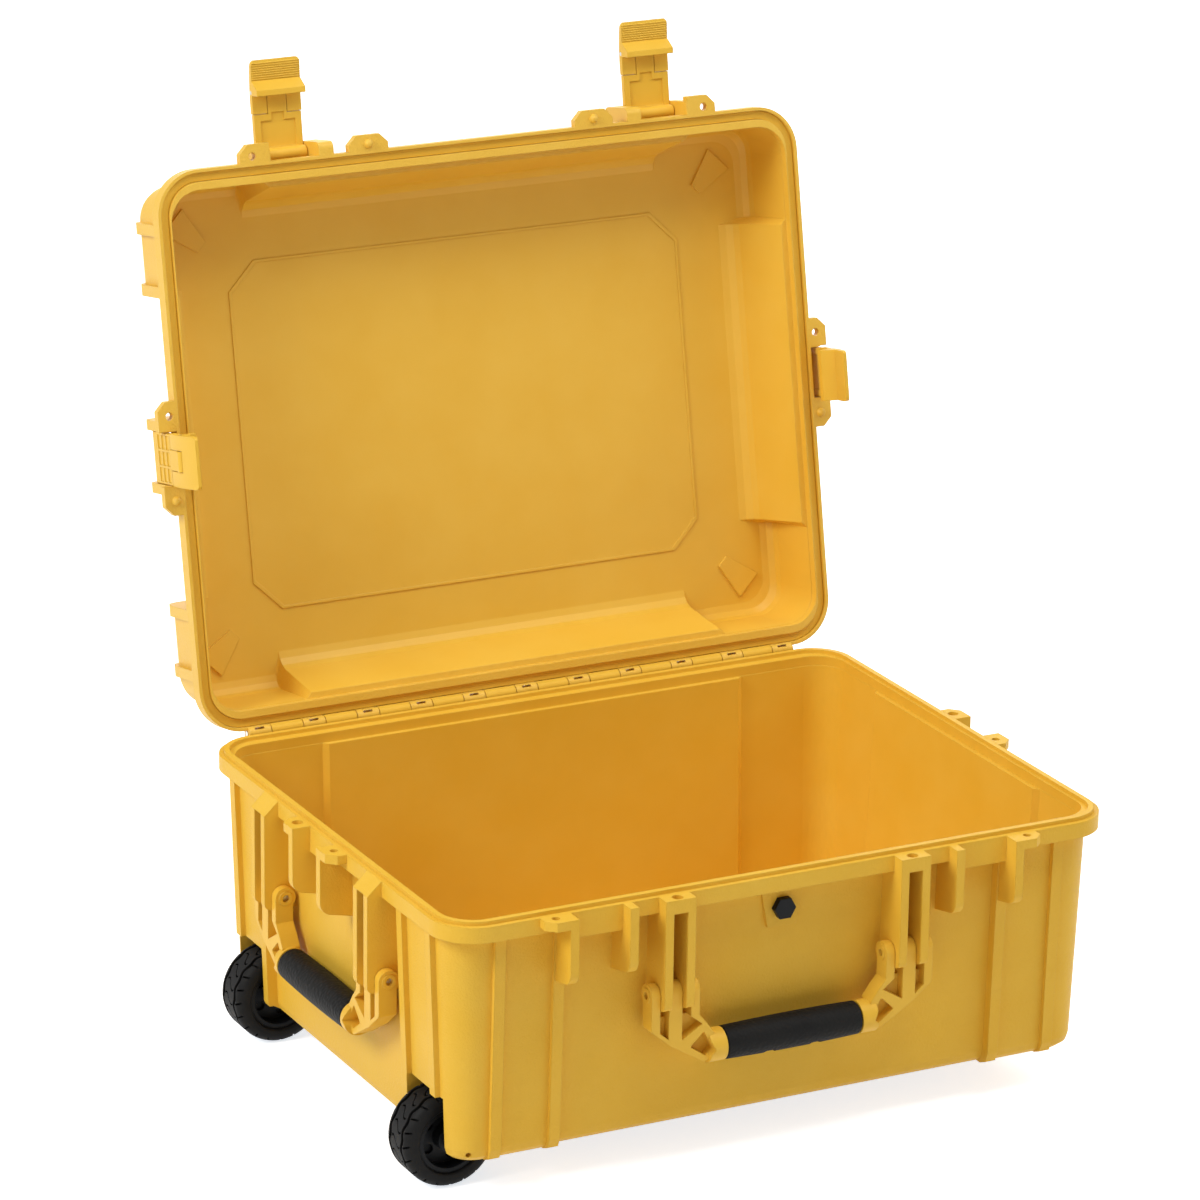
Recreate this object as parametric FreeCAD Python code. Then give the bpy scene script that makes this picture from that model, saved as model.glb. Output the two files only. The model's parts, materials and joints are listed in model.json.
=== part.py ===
"""Wheeled protective case: a moulded base and lid, double-throw latches, folding handles and a pull handle.

Lengths are in millimetres. +X runs along the long side, away from the wheels. The front, with the main handle,
faces -Y and the hinge is at +Y. Z is zero on the flat underside of the base, so the wheels reach below it.
The lid is drawn closed and then swung open about the hinge, because the case is kept with its lid open.
"""
import FreeCAD
import Part
import math
import os

# Moulded shells
rim_length = 630.0
rim_depth = 495.0
rim_corner = 40.0
base_height = 218.0
lid_height = 80.0
flange_height = 14.0
wall = 4.0
edge_step_count = 3
end_inset = 8.0
front_inset = 14.0
wall_corner = 32.0
base_draft = 8.0
lid_draft = 3.0
base_round = 12.0
heel_length = 18.0
heel_height = 9.0
lid_round = 12.0
far_corner = 22.0
parting_gap = 0.3
lid_open_angle = 101.0
overrun = 1.0

# Recessed wall panels and the ribs beside them
panel_recess = 4.5
lid_panel_recess = 3.0
lid_panel_far_recess = 21.0
panel_bevel = 5.0
ledge_drop = 9.0
inner_rib_from_end = 105.0
outer_rib_from_end = 51.0
rib_width = 10.0
rib_proud = 5.0

# Marks moulded inside the lid
octagon_from_end = 91.0
octagon_corner = 26.0
octagon_line_width = 2.4
octagon_line_height = 1.0
corner_pad_height = 2.5
corner_pad_length = 36.0
corner_pad_width = 28.0
corner_pad_tip_width = 12.0
corner_pad_inset = 28.0

# Tongue and groove of the rim, with the seal in the groove
tongue_inset = 4.5
tongue_width = 5.0
tongue_height = 3.5
groove_wall_gap = 1.5
groove_depth = 9.0
seal_wall_gap = 0.3
seal_gap = 0.3

# Hinge
knuckle_radius = 6.0
knuckle_pitch = 52.4
lid_knuckle_count = 11
base_knuckle_width = 30.0
knuckle_gap = 0.7
hinge_reach = 3.0
hinge_rise = 2.4
hinge_gap = 0.6
hinge_pin_radius = 2.5
knuckle_window_length = 9.0
knuckle_window_width = 1.8
pin_clearance = 0.05

# Latch places along the front, and the fins and tabs beside each latch
latch_from_middle = 182.0
latch_width = 45.0
latch_end_gap = 0.8
inner_ear_width = 14.0
outer_ear_width = 9.0
ear_height = 44.0
ear_reach = 12.0
ear_round = 6.0
catch_drop = 23.0
catch_width = 50.0
fin_width = 8.0
fin_reach = 13.5
fin_drop = 66.0
fin_slope = 9.0
fin_foot = 12.0
tab_thickness = 8.0
tab_reach = 16.4
tab_chamfer = 8.0
front_tab_from_latch = 38.0
front_tab_hole_shift = 2.4
front_tab_half_length = 14.0
fin_from_latch = 28.0
end_tab_from_latch = 37.0
end_tab_half_length = 13.0
padlock_hole_radius = 3.5
padlock_hole_reach = 5.8

# Locating nubs of the lid, which drop into holes in the base
nub_radius = 4.2
nub_height = 4.0
nub_hole_gap = 0.6
nub_hole_depth = 6.0
nub_tab_half_length = 19.0
nub_tab_reach = 14.0
nub_reach = 6.0

# Latch arm and lever
arm_pivot_rise = 29.5
arm_pivot_reach = 3.0
arm_barrel_radius = 6.0
arm_thickness = 5.0
arm_inner_reach = 5.5
arm_pin_radius = 2.2
lever_pivot_drop = 26.0
lever_pivot_reach = 8.0
lever_barrel_radius = 4.5
lever_pin_radius = 1.8
lever_width = 46.4
tongue_half_width = 9.0
lever_slot_gap = 0.5
lever_tail = 19.0
lever_tip_drop = 54.5
lever_bulge = 0.8
lever_bulge_share = 0.25
lever_tip_outer_reach = 6.4
lever_tip_inner_reach = 3.4
lever_rib_top_reach = 4.6
hook_inner_reach = 6.0
hook_clearance = 0.5
hook_height = 5.0
hook_ramp = 12.0
lever_rib_count = 8
lever_rib_pitch = 2.0
lever_rib_height = 0.7
lever_corner_round = 5.0
arm_panel_margin = 6.0
arm_panel_depth = 1.2
arm_grid_count = 3
arm_grid_line = 2.0
arm_grid_depth = 0.8
front_latch_angle = 88.0

# Carrying handles
front_handle_half_span = 111.0
end_handle_half_span = 104.0
handle_pivot_drop = 86.4
handle_pivot_reach = -3.0
lug_fin_width = 7.5
lug_slot_width = 13.0
lug_reach = 13.0
lug_block_height = 12.0
lug_foot_drop = 12.0
lug_foot_round = 6.0
handle_pin_radius = 3.2
tine_radius = 9.5
tine_back = 7.0
tine_gap = 0.4
outer_tine_width = 8.0
pin_boss_radius = 6.5
pin_boss_height = 1.0
handle_pin_inset = 3.0
arm_shoulder_drop = 21.5
arm_outer_drop = 30.0
arm_knee_reach = 3.0
arm_knee_drop = 46.0
arm_heel_reach = 31.5
arm_heel_drop = 67.0
arm_throat_reach = 36.5
arm_throat_drop = 40.0
arm_neck_reach = 29.5
arm_neck_drop = 30.0
arm_edge_round = 5.0
arm_rib = 4.5
arm_pocket_depth = 9.0
web_pocket_high_reach = 26.7
web_pocket_high_drop = 37.0
web_pocket_near_reach = 14.0
web_pocket_near_drop = 49.0
web_pocket_low_reach = 29.0
web_pocket_low_drop = 59.5
web_pocket_far_reach = 35.5
web_pocket_far_drop = 53.5
web_pocket_round = 1.5
grip_drop = 53.5
grip_reach = 2.0
front_grip_from_pivot = 46.5
end_grip_from_pivot = 39.5
grip_radius = 15.2
grip_end_radius = 14.2
grip_end_round = 1.5
grip_finger_count = 4
grip_finger_depth = 1.2
grip_finger_radius = 22.0
grip_core_radius = 8.0
grip_core_gap = 0.1

# Pressure valve in the front wall
valve_drop = 35.0
valve_flat = 17.5
valve_head_height = 6.0
valve_stem_radius = 6.0
valve_stem_clearance = 0.2
valve_pad_top = 40.0
valve_pad_bottom = 27.0
valve_pad_height = 34.0
valve_pad_proud = 3.0
valve_washer_thickness = 1.5
valve_washer_radius = 9.0
valve_nut_flat = 18.0
valve_nut_height = 6.0

# Wheels
wheel_radius = 42.0
wheel_width = 42.0
wheel_from_middle = 171.0
axle_from_end = 30.0
axle_rise = 9.0
axle_radius = 4.0
axle_overhang = 8.0
axle_drift_radius = 2.2
well_radius_gap = 4.5
well_wall_gap = 3.0
well_front_gap = 14.0
tyre_thickness = 13.0
tyre_shoulder = 3.0
tread_count = 26
tread_depth = 2.5
tread_width = 3.0
tread_slant_angle = 30.0
tread_row_share = 0.25
hub_gap = 0.2
hub_web_thickness = 10.0
hub_boss_radius = 11.0
hub_bore_gap = 1.0
hub_spoke_count = 5
hub_window_share = 0.62
hub_window_depth = 3.5
bush_radius = 7.0
bush_length = 12.0
wheel_washer_gap = 0.4

# Pull handle under the floor
pull_tube_from_middle = 95.0
pull_tube_radius = 9.0
pull_tube_wall = 1.6
pull_sleeve_wall = 1.5
pull_slide_gap = 0.08
pull_sleeve_length = 470.0
channel_gap = 0.3
pull_grip_height = 22.0
pull_grip_depth = 20.0
pull_grip_round = 6.0
pull_grip_half_length = 122.0
pull_recess_gap = 3.0
pull_finger_depth = 20.0
cover_thickness = 2.5
cover_margin = 8.0
cover_screw_radius = 1.8
cover_screw_gap = 0.05
cover_screw_length = 7.0
cover_screw_head_radius = 3.4
cover_screw_head_height = 1.5
cover_boss_radius = 3.6
cover_screw_count = 4
cover_screw_from_end = 30.0
bush_stop_length = 24.0
bush_head_length = 6.0

V = FreeCAD.Vector
ORIGIN = V(0, 0, 0)
X_AXIS = V(1, 0, 0)
Y_AXIS = V(0, 1, 0)
Z_AXIS = V(0, 0, 1)

half_length = rim_length / 2
half_depth = rim_depth / 2
hinge_y = half_depth + hinge_reach
hinge_z = base_height + hinge_rise
base_recesses = (panel_recess, panel_recess)
lid_recesses = (lid_panel_recess, lid_panel_far_recess)
lid_knuckle_width = knuckle_pitch - base_knuckle_width - 2 * knuckle_gap

# Each side has its turn about Z from the front, the distance of its rim edge and the inset of its wall.
SIDES = {
    "front": (0, half_depth, front_inset),
    "right": (90, half_length, end_inset),
    "back": (180, half_depth, front_inset),
    "left": (270, half_length, end_inset),
}


def rounded_wire(points, radii):
    """A closed wire through the points. Each corner with a radius is rounded by an arc."""
    count = len(points)
    starts, ends, arcs = [], [], []
    for k in range(count):
        corner, radius = points[k], radii[k]
        if radius == 0:
            starts.append(corner)
            ends.append(corner)
            arcs.append(None)
            continue
        before = points[k - 1] - corner
        after = points[(k + 1) % count] - corner
        before.normalize()
        after.normalize()
        half_angle = before.getAngle(after) / 2
        run = radius / math.tan(half_angle)
        bisector = before + after
        bisector.normalize()
        start, end = corner + before * run, corner + after * run
        middle = corner + bisector * (radius / math.sin(half_angle) - radius)
        starts.append(start)
        ends.append(end)
        arcs.append(Part.Arc(start, middle, end).toShape())
    edges = []
    for k in range(count):
        if arcs[k]:
            edges.append(arcs[k])
        following = starts[(k + 1) % count]
        edges.append(Part.LineSegment(ends[k], following).toShape())
    return Part.Wire(edges)


def prism(points, direction, radii=None):
    """Extrudes the closed outline through the points, with its corners rounded where radii are given."""
    wire = rounded_wire(points, radii or [0] * len(points))
    return Part.Face(wire).extrude(direction)


def prism_x(points, start, end, radii=None):
    """A prism along X from an outline of (y, z) points."""
    return prism([V(start, y, z) for y, z in points], V(end - start, 0, 0), radii)


def prism_y(points, start, end, radii=None):
    """A prism along Y from an outline of (x, z) points."""
    return prism([V(x, start, z) for x, z in points], V(0, end - start, 0), radii)


def prism_z(points, start, end, radii=None):
    """A prism along Z from an outline of (x, y) points."""
    return prism([V(x, y, start) for x, y in points], V(0, 0, end - start), radii)


def box(low, high):
    return Part.makeBox(high[0] - low[0], high[1] - low[1], high[2] - low[2], V(*low))


def rod_x(radius, start, end, y, z):
    return Part.makeCylinder(radius, end - start, V(start, y, z), X_AXIS)


def rod_y(radius, start, end, x, z):
    return Part.makeCylinder(radius, end - start, V(x, start, z), Y_AXIS)


def rod_z(radius, start, end, x, y):
    return Part.makeCylinder(radius, end - start, V(x, y, start), Z_AXIS)


def hexagon(flat):
    """The corners of a hexagon, given its width across the flats."""
    reach = flat / math.sqrt(3)
    turns = [math.radians(60 * k) for k in range(6)]
    return [(reach * math.cos(turn), reach * math.sin(turn)) for turn in turns]


def join(shapes):
    return shapes[0].multiFuse(shapes[1:]).removeSplitter()


def turned(shape, centre, axis, angle):
    copy = shape.copy()
    copy.rotate(centre, axis, angle)
    return copy


def moved(shape, x, y, z):
    copy = shape.copy()
    copy.translate(V(x, y, z))
    return copy


def mirrored(shape):
    """The same shape on the other side of the plane x = 0."""
    return shape.mirror(ORIGIN, X_AXIS)


def seat(shape, side, along=0.0):
    """Takes a piece drawn at a rim edge, with -Y outwards and z = 0 at the rim, to its place on a side."""
    turn, half, _ = SIDES[side]
    return turned(moved(shape, along, -half, base_height), ORIGIN, Z_AXIS, turn)


def open_lid(shape):
    return turned(shape, V(0, hinge_y, hinge_z), -X_AXIS, lid_open_angle)


# Outlines of the shells


def closed_wire(corners, radius_corners, level):
    """A wire through straight runs, with a quarter circle after the last point of each run."""
    edges = []
    for index, run in enumerate(corners):
        points = [V(x, y, level) for x, y in run]
        for first, second in zip(points, points[1:]):
            edges.append(Part.LineSegment(first, second).toShape())
        centre = V(radius_corners[index][0], radius_corners[index][1], level)
        following = corners[(index + 1) % len(corners)][0]
        end = V(following[0], following[1], level)
        radius = (end - centre).Length
        bisector = (points[-1] - centre) + (end - centre)
        middle = centre + bisector * (radius / bisector.Length)
        edges.append(Part.Arc(points[-1], middle, end).toShape())
    return Part.Wire(edges)


def side_run(half_along, half_out, corner, panel_half, recess):
    """The points along one side, left to right, in (along, outwards) terms, with its recessed panel."""
    ends = half_along - corner
    if recess == 0:
        return [(-ends, half_out), (ends, half_out)]
    shoulder = panel_half + panel_bevel
    return [
        (-ends, half_out),
        (-shoulder, half_out),
        (-panel_half, half_out - recess),
        (panel_half, half_out - recess),
        (shoulder, half_out),
        (ends, half_out),
    ]


def outline(half_x, half_y, corner, level, recess=0.0):
    """A rounded rectangle whose four sides can have a recessed panel in the middle."""
    panel_x = half_length - inner_rib_from_end - rib_width / 2
    panel_y = half_depth - inner_rib_from_end - rib_width / 2
    front = [(a, -o) for a, o in side_run(half_x, half_y, corner, panel_x, recess)]
    right = [(o, a) for a, o in side_run(half_y, half_x, corner, panel_y, recess)]
    back = [(-x, -y) for x, y in front]
    left = [(-x, -y) for x, y in right]
    inner_x, inner_y = half_x - corner, half_y - corner
    centres = [(inner_x, -inner_y), (inner_x, inner_y), (-inner_x, inner_y), (-inner_x, -inner_y)]
    return closed_wire([front, right, back, left], centres, level)


def rim_band(inset, start, end):
    """A solid rounded rectangle, inset from the rim's outer edge, between two levels."""
    wire = outline(half_length - inset, half_depth - inset, rim_corner - inset, start)
    return Part.Face(wire).extrude(V(0, 0, end - start))


def rim_ring(inset, width, start, end):
    return rim_band(inset, start, end).cut(rim_band(inset + width, start, end))


def tub(direction, start, depth, draft, edge_round, thickness, recesses):
    """A drafted body with rounded far edges, drawn away from the rim: down for -1 and up for +1.

    The thickness shrinks the body on its walls and its far face, which gives the hollow of a shell.
    The recesses are those of the wall panels at the rim and at the far face.
    """
    far = depth - thickness
    stations = [(start, 0.0), (far - edge_round, 0.0)]
    for step in range(1, edge_step_count + 1):
        angle = math.radians(90 * step / edge_step_count)
        stations.append((far - edge_round * (1 - math.sin(angle)), edge_round * (1 - math.cos(angle))))
    wires = []
    for distance, rounding in stations:
        shrink = draft * distance / depth + rounding + thickness
        recess = recesses[0] + (recesses[1] - recesses[0]) * distance / depth
        level = base_height + direction * distance
        half_x = half_length - end_inset - shrink
        half_y = half_depth - front_inset - shrink
        wires.append(outline(half_x, half_y, max(wall_corner - shrink, far_corner), level, recess))
    return Part.makeLoft(wires, True, True)


def mouth(direction, depth):
    """The plain opening of a shell just inside its rim, above the ledges of the panels."""
    half_x = half_length - end_inset - wall
    half_y = half_depth - front_inset - wall
    wire = outline(half_x, half_y, wall_corner - wall, base_height - direction * overrun)
    return Part.Face(wire).extrude(V(0, 0, direction * (depth + overrun)))


def ribs(direction, depth, draft, edge_round):
    """Two upright ribs towards each end of every side, from the rim round the far edge."""
    shapes = []
    for side, (_, half, inset) in SIDES.items():
        run = half_length + half_depth - half
        crown = inset - rib_proud
        toe = crown + draft
        inner = inset + draft + edge_round + wall
        edge = depth - edge_round
        turn = math.radians(45)
        turn_out, turn_down = edge_round * (1 - math.cos(turn)), edge_round * math.sin(turn)
        outline_points = [
            (crown, 0),
            (toe, direction * edge),
            (toe + turn_out, direction * (edge + turn_down)),
            (toe + edge_round, direction * depth),
            (inner, direction * depth),
            (inner, 0),
        ]
        for from_end in (inner_rib_from_end, outer_rib_from_end):
            for end in (-1, 1):
                place = end * (run - from_end)
                rib = prism_x(outline_points, -rib_width / 2, rib_width / 2)
                shapes.append(seat(rib, side, place))
    return shapes


# Fins, tabs and lugs on the rims


def wall_depth(side):
    """How far behind the rim's edge a feature runs to be sure to meet the recessed wall."""
    return SIDES[side][2] + base_draft + panel_recess + wall


def fin(side, reach):
    """A fin beside a latch, from the rim down the wall, with a rounded and sloping foot."""
    inner = wall_depth(side)
    points = [
        (-reach, 0),
        (-reach, fin_slope - fin_drop),
        (inner, -fin_drop),
        (inner, 0),
    ]
    return prism_x(points, -fin_width / 2, fin_width / 2, [0, fin_foot, 0, 0])


def tab(half, reach, chamfers, start, end, hole=None):
    """A flat tab over the rim's edge, with outer corners cut as told and a hole as (x, reach, radius)."""
    left, right = [tab_chamfer if cut else 0 for cut in chamfers]
    inner = front_inset
    points = [(-half, inner), (-half, -reach + left)]
    if left:
        points.append((-half + left, -reach))
    points.append((half - right, -reach))
    if right:
        points.append((half, -reach + right))
    points.append((half, inner))
    plate = prism_z(points, start, end)
    if not hole:
        return plate
    x, hole_reach, radius = hole
    return plate.cut(rod_z(radius, start - overrun, end + overrun, x, -hole_reach))


def catch_plate(side):
    inner = SIDES[side][2] + wall
    low = (-catch_width / 2, 0, -catch_drop)
    return box(low, (catch_width / 2, inner, 0))


def lug_pair(side, nub_hole):
    """Two fins with a slot between them for a handle's middle tine, under a block at the rim."""
    inner = wall_depth(side)
    foot = handle_pivot_drop + lug_foot_drop
    front = -lug_reach
    profile = [
        (0, 0) if not nub_hole else (front, 0),
        (front, -lug_block_height),
        (front, -foot),
        (inner, -foot),
        (inner, 0),
    ]
    width = lug_slot_width + 2 * lug_fin_width
    pair = prism_x(profile, -width / 2, width / 2, [0, 0, lug_foot_round, 0, 0])
    slot_low = (-lug_slot_width / 2, front - overrun, -foot - overrun)
    slot_high = (lug_slot_width / 2, SIDES[side][2] + panel_recess, -lug_block_height)
    pair = pair.cut(box(slot_low, slot_high))
    bore = rod_x(handle_pin_radius + pin_clearance, -width, width, -handle_pivot_reach, -handle_pivot_drop)
    pair = pair.cut(bore)
    if nub_hole:
        pair = pair.cut(rod_z(nub_radius + nub_hole_gap, -nub_hole_depth, overrun, 0, -nub_reach))
    return pair


def front_tabs(start, end):
    """The padlock tabs outside the two front latches, between two levels."""
    tabs = []
    for sign in (-1, 1):
        hole = (sign * front_tab_hole_shift, padlock_hole_reach, padlock_hole_radius)
        plate = tab(front_tab_half_length, tab_reach, (sign < 0, sign > 0), start, end, hole)
        tabs.append(seat(plate, "front", sign * (latch_from_middle + front_tab_from_latch)))
    return tabs


def base_front_features():
    shapes = front_tabs(-tab_thickness, 0)
    for end in (-1, 1):
        latch = end * latch_from_middle
        shapes.append(seat(catch_plate("front"), "front", latch))
        shapes.append(seat(fin("front", fin_reach), "front", latch - end * fin_from_latch))
        shapes.append(seat(fin("front", tab_reach), "front", latch + end * fin_from_latch))
        shapes.append(seat(lug_pair("front", True), "front", end * front_handle_half_span))
    return shapes


def toward_front(side):
    """The sign, along a side, of the end nearest the front."""
    return -1 if side == "right" else 1


def base_side_features(side):
    shapes = [seat(catch_plate(side), side)]
    for end in (-1, 1):
        shapes.append(seat(fin(side, tab_reach), side, end * fin_from_latch))
        radius = padlock_hole_radius if end == toward_front(side) else nub_radius + nub_hole_gap
        hole = (0, padlock_hole_reach, radius)
        plate = tab(end_tab_half_length, tab_reach, (end < 0, end > 0), -tab_thickness, 0, hole)
        shapes.append(seat(plate, side, end * end_tab_from_latch))
        shapes.append(seat(lug_pair(side, False), side, end * end_handle_half_span))
    return shapes


# Hinge


def knuckle_places():
    """The middles of the lid's knuckles and, between them, of the base's."""
    first = -(lid_knuckle_count - 1) / 2
    lid = [(first + k) * knuckle_pitch for k in range(lid_knuckle_count)]
    base = [x + knuckle_pitch / 2 for x in lid[:-1]]
    return lid, base


def knuckle(width, upward):
    """A barrel on the hinge line with its leaf back to the rim, above the rim plane or below it."""
    barrel = rod_x(knuckle_radius, -width / 2, width / 2, hinge_y, hinge_z)
    edge = base_height + parting_gap if upward else base_height
    far = hinge_z + knuckle_radius if upward else hinge_z - knuckle_radius
    low_z, high_z = sorted((edge, far))
    leaf = box((-width / 2, half_depth - wall, low_z), (width / 2, hinge_y, high_z))
    return barrel.fuse(leaf)


def knuckle_pockets(places, width):
    """Round clearances in one rim for the knuckles of the other."""
    reach = width / 2 + knuckle_gap
    return [rod_x(knuckle_radius + hinge_gap, x - reach, x + reach, hinge_y, hinge_z) for x in places]


def knuckle_bore():
    reach = half_length
    return rod_x(hinge_pin_radius + pin_clearance, -reach, reach, hinge_y, hinge_z)


def hinge_pin():
    end = lid_knuckle_count * knuckle_pitch / 2 - knuckle_pitch / 2 + (knuckle_pitch - base_knuckle_width) / 2
    return rod_x(hinge_pin_radius, -end, end, hinge_y, hinge_z)


# Wheel wells and the channels of the pull handle

axle_x = -half_length + axle_from_end
well_radius = wheel_radius + well_radius_gap
sleeve_radius = pull_tube_radius + pull_slide_gap + pull_sleeve_wall
pull_tube_rise = cover_thickness + channel_gap + sleeve_radius
channel_half = sleeve_radius + channel_gap
channel_top = pull_tube_rise + sleeve_radius + channel_gap
base_end = half_length - end_inset - base_draft


def well_span(end):
    """Where a wheel well starts and stops along Y: close to the wheel inside, wider towards the corner."""
    inner = wheel_from_middle - wheel_width / 2 - well_wall_gap
    outer = wheel_from_middle + wheel_width / 2 + well_front_gap
    return sorted((end * inner, end * outer))


def wheel_well(end):
    """The space cut out of a lower corner for a wheel, arched over the axle."""
    low, high = well_span(end)
    arch = rod_y(well_radius, low, high, axle_x, axle_rise)
    outer = axle_x - well_radius - axle_from_end
    side = box((outer, low, -well_radius), (axle_x, high, axle_rise + well_radius))
    under = box((outer, low, -well_radius), (axle_x + well_radius, high, axle_rise))
    return arch.multiFuse([side, under])


def heel():
    """The slope under the wheeled end, between the two wells, that clears a step when the case is tipped."""
    start, stop = -wheel_from_middle, wheel_from_middle
    slope = [(-base_end + heel_length, -overrun), (-base_end, heel_height)]
    points = [(-half_length, -overrun)] + slope + [(-half_length, heel_height)]
    return prism_y(points, start, stop)


def well_housing(end):
    """The solid corner round a wheel well, kept out of the hollow of the base."""
    inner = wheel_from_middle - wheel_width / 2 - well_wall_gap - wall
    radius = well_radius + wall
    low, high = sorted((end * inner, end * half_depth))
    arch = rod_y(radius, low, high, axle_x, axle_rise)
    block = box((-half_length, low, 0), (axle_x, high, axle_rise + radius))
    under = box((-half_length, low, 0), (axle_x + radius, high, axle_rise))
    return arch.multiFuse([block, under])


def channel(end, grow):
    """The groove under the floor for one sleeve of the pull handle, grown to give its wall inside."""
    middle = end * pull_tube_from_middle
    start = base_end - pull_sleeve_length - channel_gap - grow
    half = channel_half + grow
    low = (start, middle - half, -overrun if grow == 0 else 0)
    return box(low, (half_length, middle + half, channel_top + grow))


def grip_recess(grow):
    """The pocket in the lower edge of the right-hand end that takes the pull handle's grip."""
    half = pull_grip_half_length + pull_recess_gap + grow
    start = base_end - pull_grip_depth - pull_finger_depth - grow
    top = pull_tube_rise + pull_grip_height / 2 + pull_recess_gap + grow
    return box((start, -half, -overrun if grow == 0 else 0), (half_length, half, top))


def cover_pocket(end):
    """A shallow pocket round a channel's mouth, for the cover that closes it."""
    middle = end * pull_tube_from_middle
    start = base_end - pull_sleeve_length - channel_gap - cover_margin
    stop = base_end - pull_grip_depth - pull_finger_depth - wall
    half = channel_half + cover_margin
    return box((start, middle - half, -overrun), (stop, middle + half, cover_thickness))


def cover_screw_places(end):
    """Two rows of screws along the margins of a cover."""
    middle = end * pull_tube_from_middle
    start = base_end - pull_sleeve_length + cover_screw_from_end
    stop = base_end - pull_grip_depth - pull_finger_depth - cover_screw_from_end
    step = (stop - start) / (cover_screw_count - 1)
    offset = channel_half + cover_margin / 2
    return [(start + k * step, middle + row * offset) for k in range(cover_screw_count) for row in (-1, 1)]


# The shells


def base_shell():
    body = tub(-1, flange_height - overrun, base_height, base_draft, base_round, 0, base_recesses)
    flange = rim_band(0, base_height - flange_height, base_height)
    tongue = rim_ring(tongue_inset, tongue_width, base_height - overrun, base_height + tongue_height)
    solids = [body, flange, tongue] + ribs(-1, base_height, base_draft, base_round)
    solids += base_front_features() + base_side_features("left") + base_side_features("right")
    solids.append(valve_pad())
    for x in knuckle_places()[1]:
        solids.append(moved(knuckle(base_knuckle_width, False), x, 0, 0))
    outside = join(solids)

    hollow = tub(-1, ledge_drop, base_height, base_draft, base_round, wall, base_recesses)
    kept_out = [well_housing(-1), well_housing(1), channel(-1, wall), channel(1, wall), grip_recess(wall)]
    for end in (-1, 1):
        for x, y in cover_screw_places(end):
            kept_out.append(rod_z(cover_boss_radius, 0, cover_thickness + cover_screw_length + wall, x, y))
    hollow = hollow.cut(join(kept_out)).fuse(mouth(-1, ledge_drop))

    cuts = [hollow, knuckle_bore(), valve_hole(), grip_recess(0), heel()]
    cuts += knuckle_pockets(knuckle_places()[0], lid_knuckle_width)
    for end in (-1, 1):
        cuts += [wheel_well(end), channel(end, 0), cover_pocket(end), axle_bore(end)]
        for x, y in cover_screw_places(end):
            hole = cover_screw_radius + cover_screw_gap
            cuts.append(rod_z(hole, -overrun, cover_thickness + cover_screw_length, x, y))
    return outside.cut(cuts).removeSplitter()


def lid_shell():
    top = base_height + parting_gap
    body = tub(1, flange_height - overrun, lid_height, lid_draft, lid_round, 0, lid_recesses)
    flange = rim_band(0, top, base_height + flange_height)
    solids = [body, flange] + [trim_to_lid(rib) for rib in ribs(1, lid_height, lid_draft, lid_round)]
    for end in (-1, 1):
        widths = (outer_ear_width, inner_ear_width) if end < 0 else (inner_ear_width, outer_ear_width)
        solids += latch_ears("front", end * latch_from_middle, widths)
        solids.append(seat(nub_tab(), "front", end * front_handle_half_span))
    solids += front_tabs(parting_gap, tab_thickness)
    for side in ("left", "right"):
        solids += latch_ears(side, 0, (outer_ear_width, outer_ear_width))
        solids += lid_side_tabs(side)
    for x in knuckle_places()[0]:
        solids.append(moved(knuckle(lid_knuckle_width, True), x, 0, 0))
    outside = join(solids)

    hollow = tub(1, ledge_drop, lid_height, lid_draft, lid_round, wall, lid_recesses)
    hollow = hollow.cut(corner_pads() + [octagon_line()])
    groove_inset = tongue_inset - groove_wall_gap
    groove_width = tongue_width + 2 * groove_wall_gap
    groove = rim_ring(groove_inset, groove_width, base_height, base_height + groove_depth)
    cuts = [hollow.fuse(mouth(1, ledge_drop)), groove, knuckle_bore()]
    cuts += knuckle_pockets(knuckle_places()[1], base_knuckle_width)
    cuts += [knuckle_window(x) for x in knuckle_places()[0]]
    for side, along in latch_places().values():
        cuts.append(seat(arm_bore(), side, along))
    return outside.cut(cuts).removeSplitter()


def trim_to_lid(rib):
    """The lid's ribs stop short of the parting line."""
    return rib.cut(rim_band(-tab_reach, base_height - overrun, base_height + parting_gap))


def octagon(inset, start, end):
    half_x = half_length - octagon_from_end - inset
    half_y = half_depth - octagon_from_end - inset
    c = octagon_corner
    points = [
        (-half_x + c, -half_y), (half_x - c, -half_y), (half_x, -half_y + c), (half_x, half_y - c),
        (half_x - c, half_y), (-half_x + c, half_y), (-half_x, half_y - c), (-half_x, -half_y + c),
    ]
    return prism_z(points, start, end)


def octagon_line():
    """A fine raised line in eight sides on the inside of the lid's top."""
    ceiling = base_height + lid_height - wall
    low, high = ceiling - octagon_line_height, ceiling + overrun
    return octagon(0, low, high).cut(octagon(octagon_line_width, low, high))


def corner_pads():
    """Low tapering pads in the four corners of the lid's top, pointing at its middle."""
    ceiling = base_height + lid_height - wall
    pads = []
    for sx in (-1, 1):
        for sy in (-1, 1):
            x = sx * (half_length - end_inset - lid_draft - wall - corner_pad_inset)
            y = sy * (half_depth - front_inset - lid_draft - wall - corner_pad_inset)
            inward = V(-sx, -sy, 0)
            inward.normalize()
            across = V(-inward.y, inward.x, 0)
            wide = V(x, y, ceiling - corner_pad_height)
            tip = wide + inward * corner_pad_length
            corners = [
                wide + across * (corner_pad_width / 2),
                tip + across * (corner_pad_tip_width / 2),
                tip - across * (corner_pad_tip_width / 2),
                wide - across * (corner_pad_width / 2),
            ]
            pads.append(prism(corners, V(0, 0, corner_pad_height + overrun)))
    return pads


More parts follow.
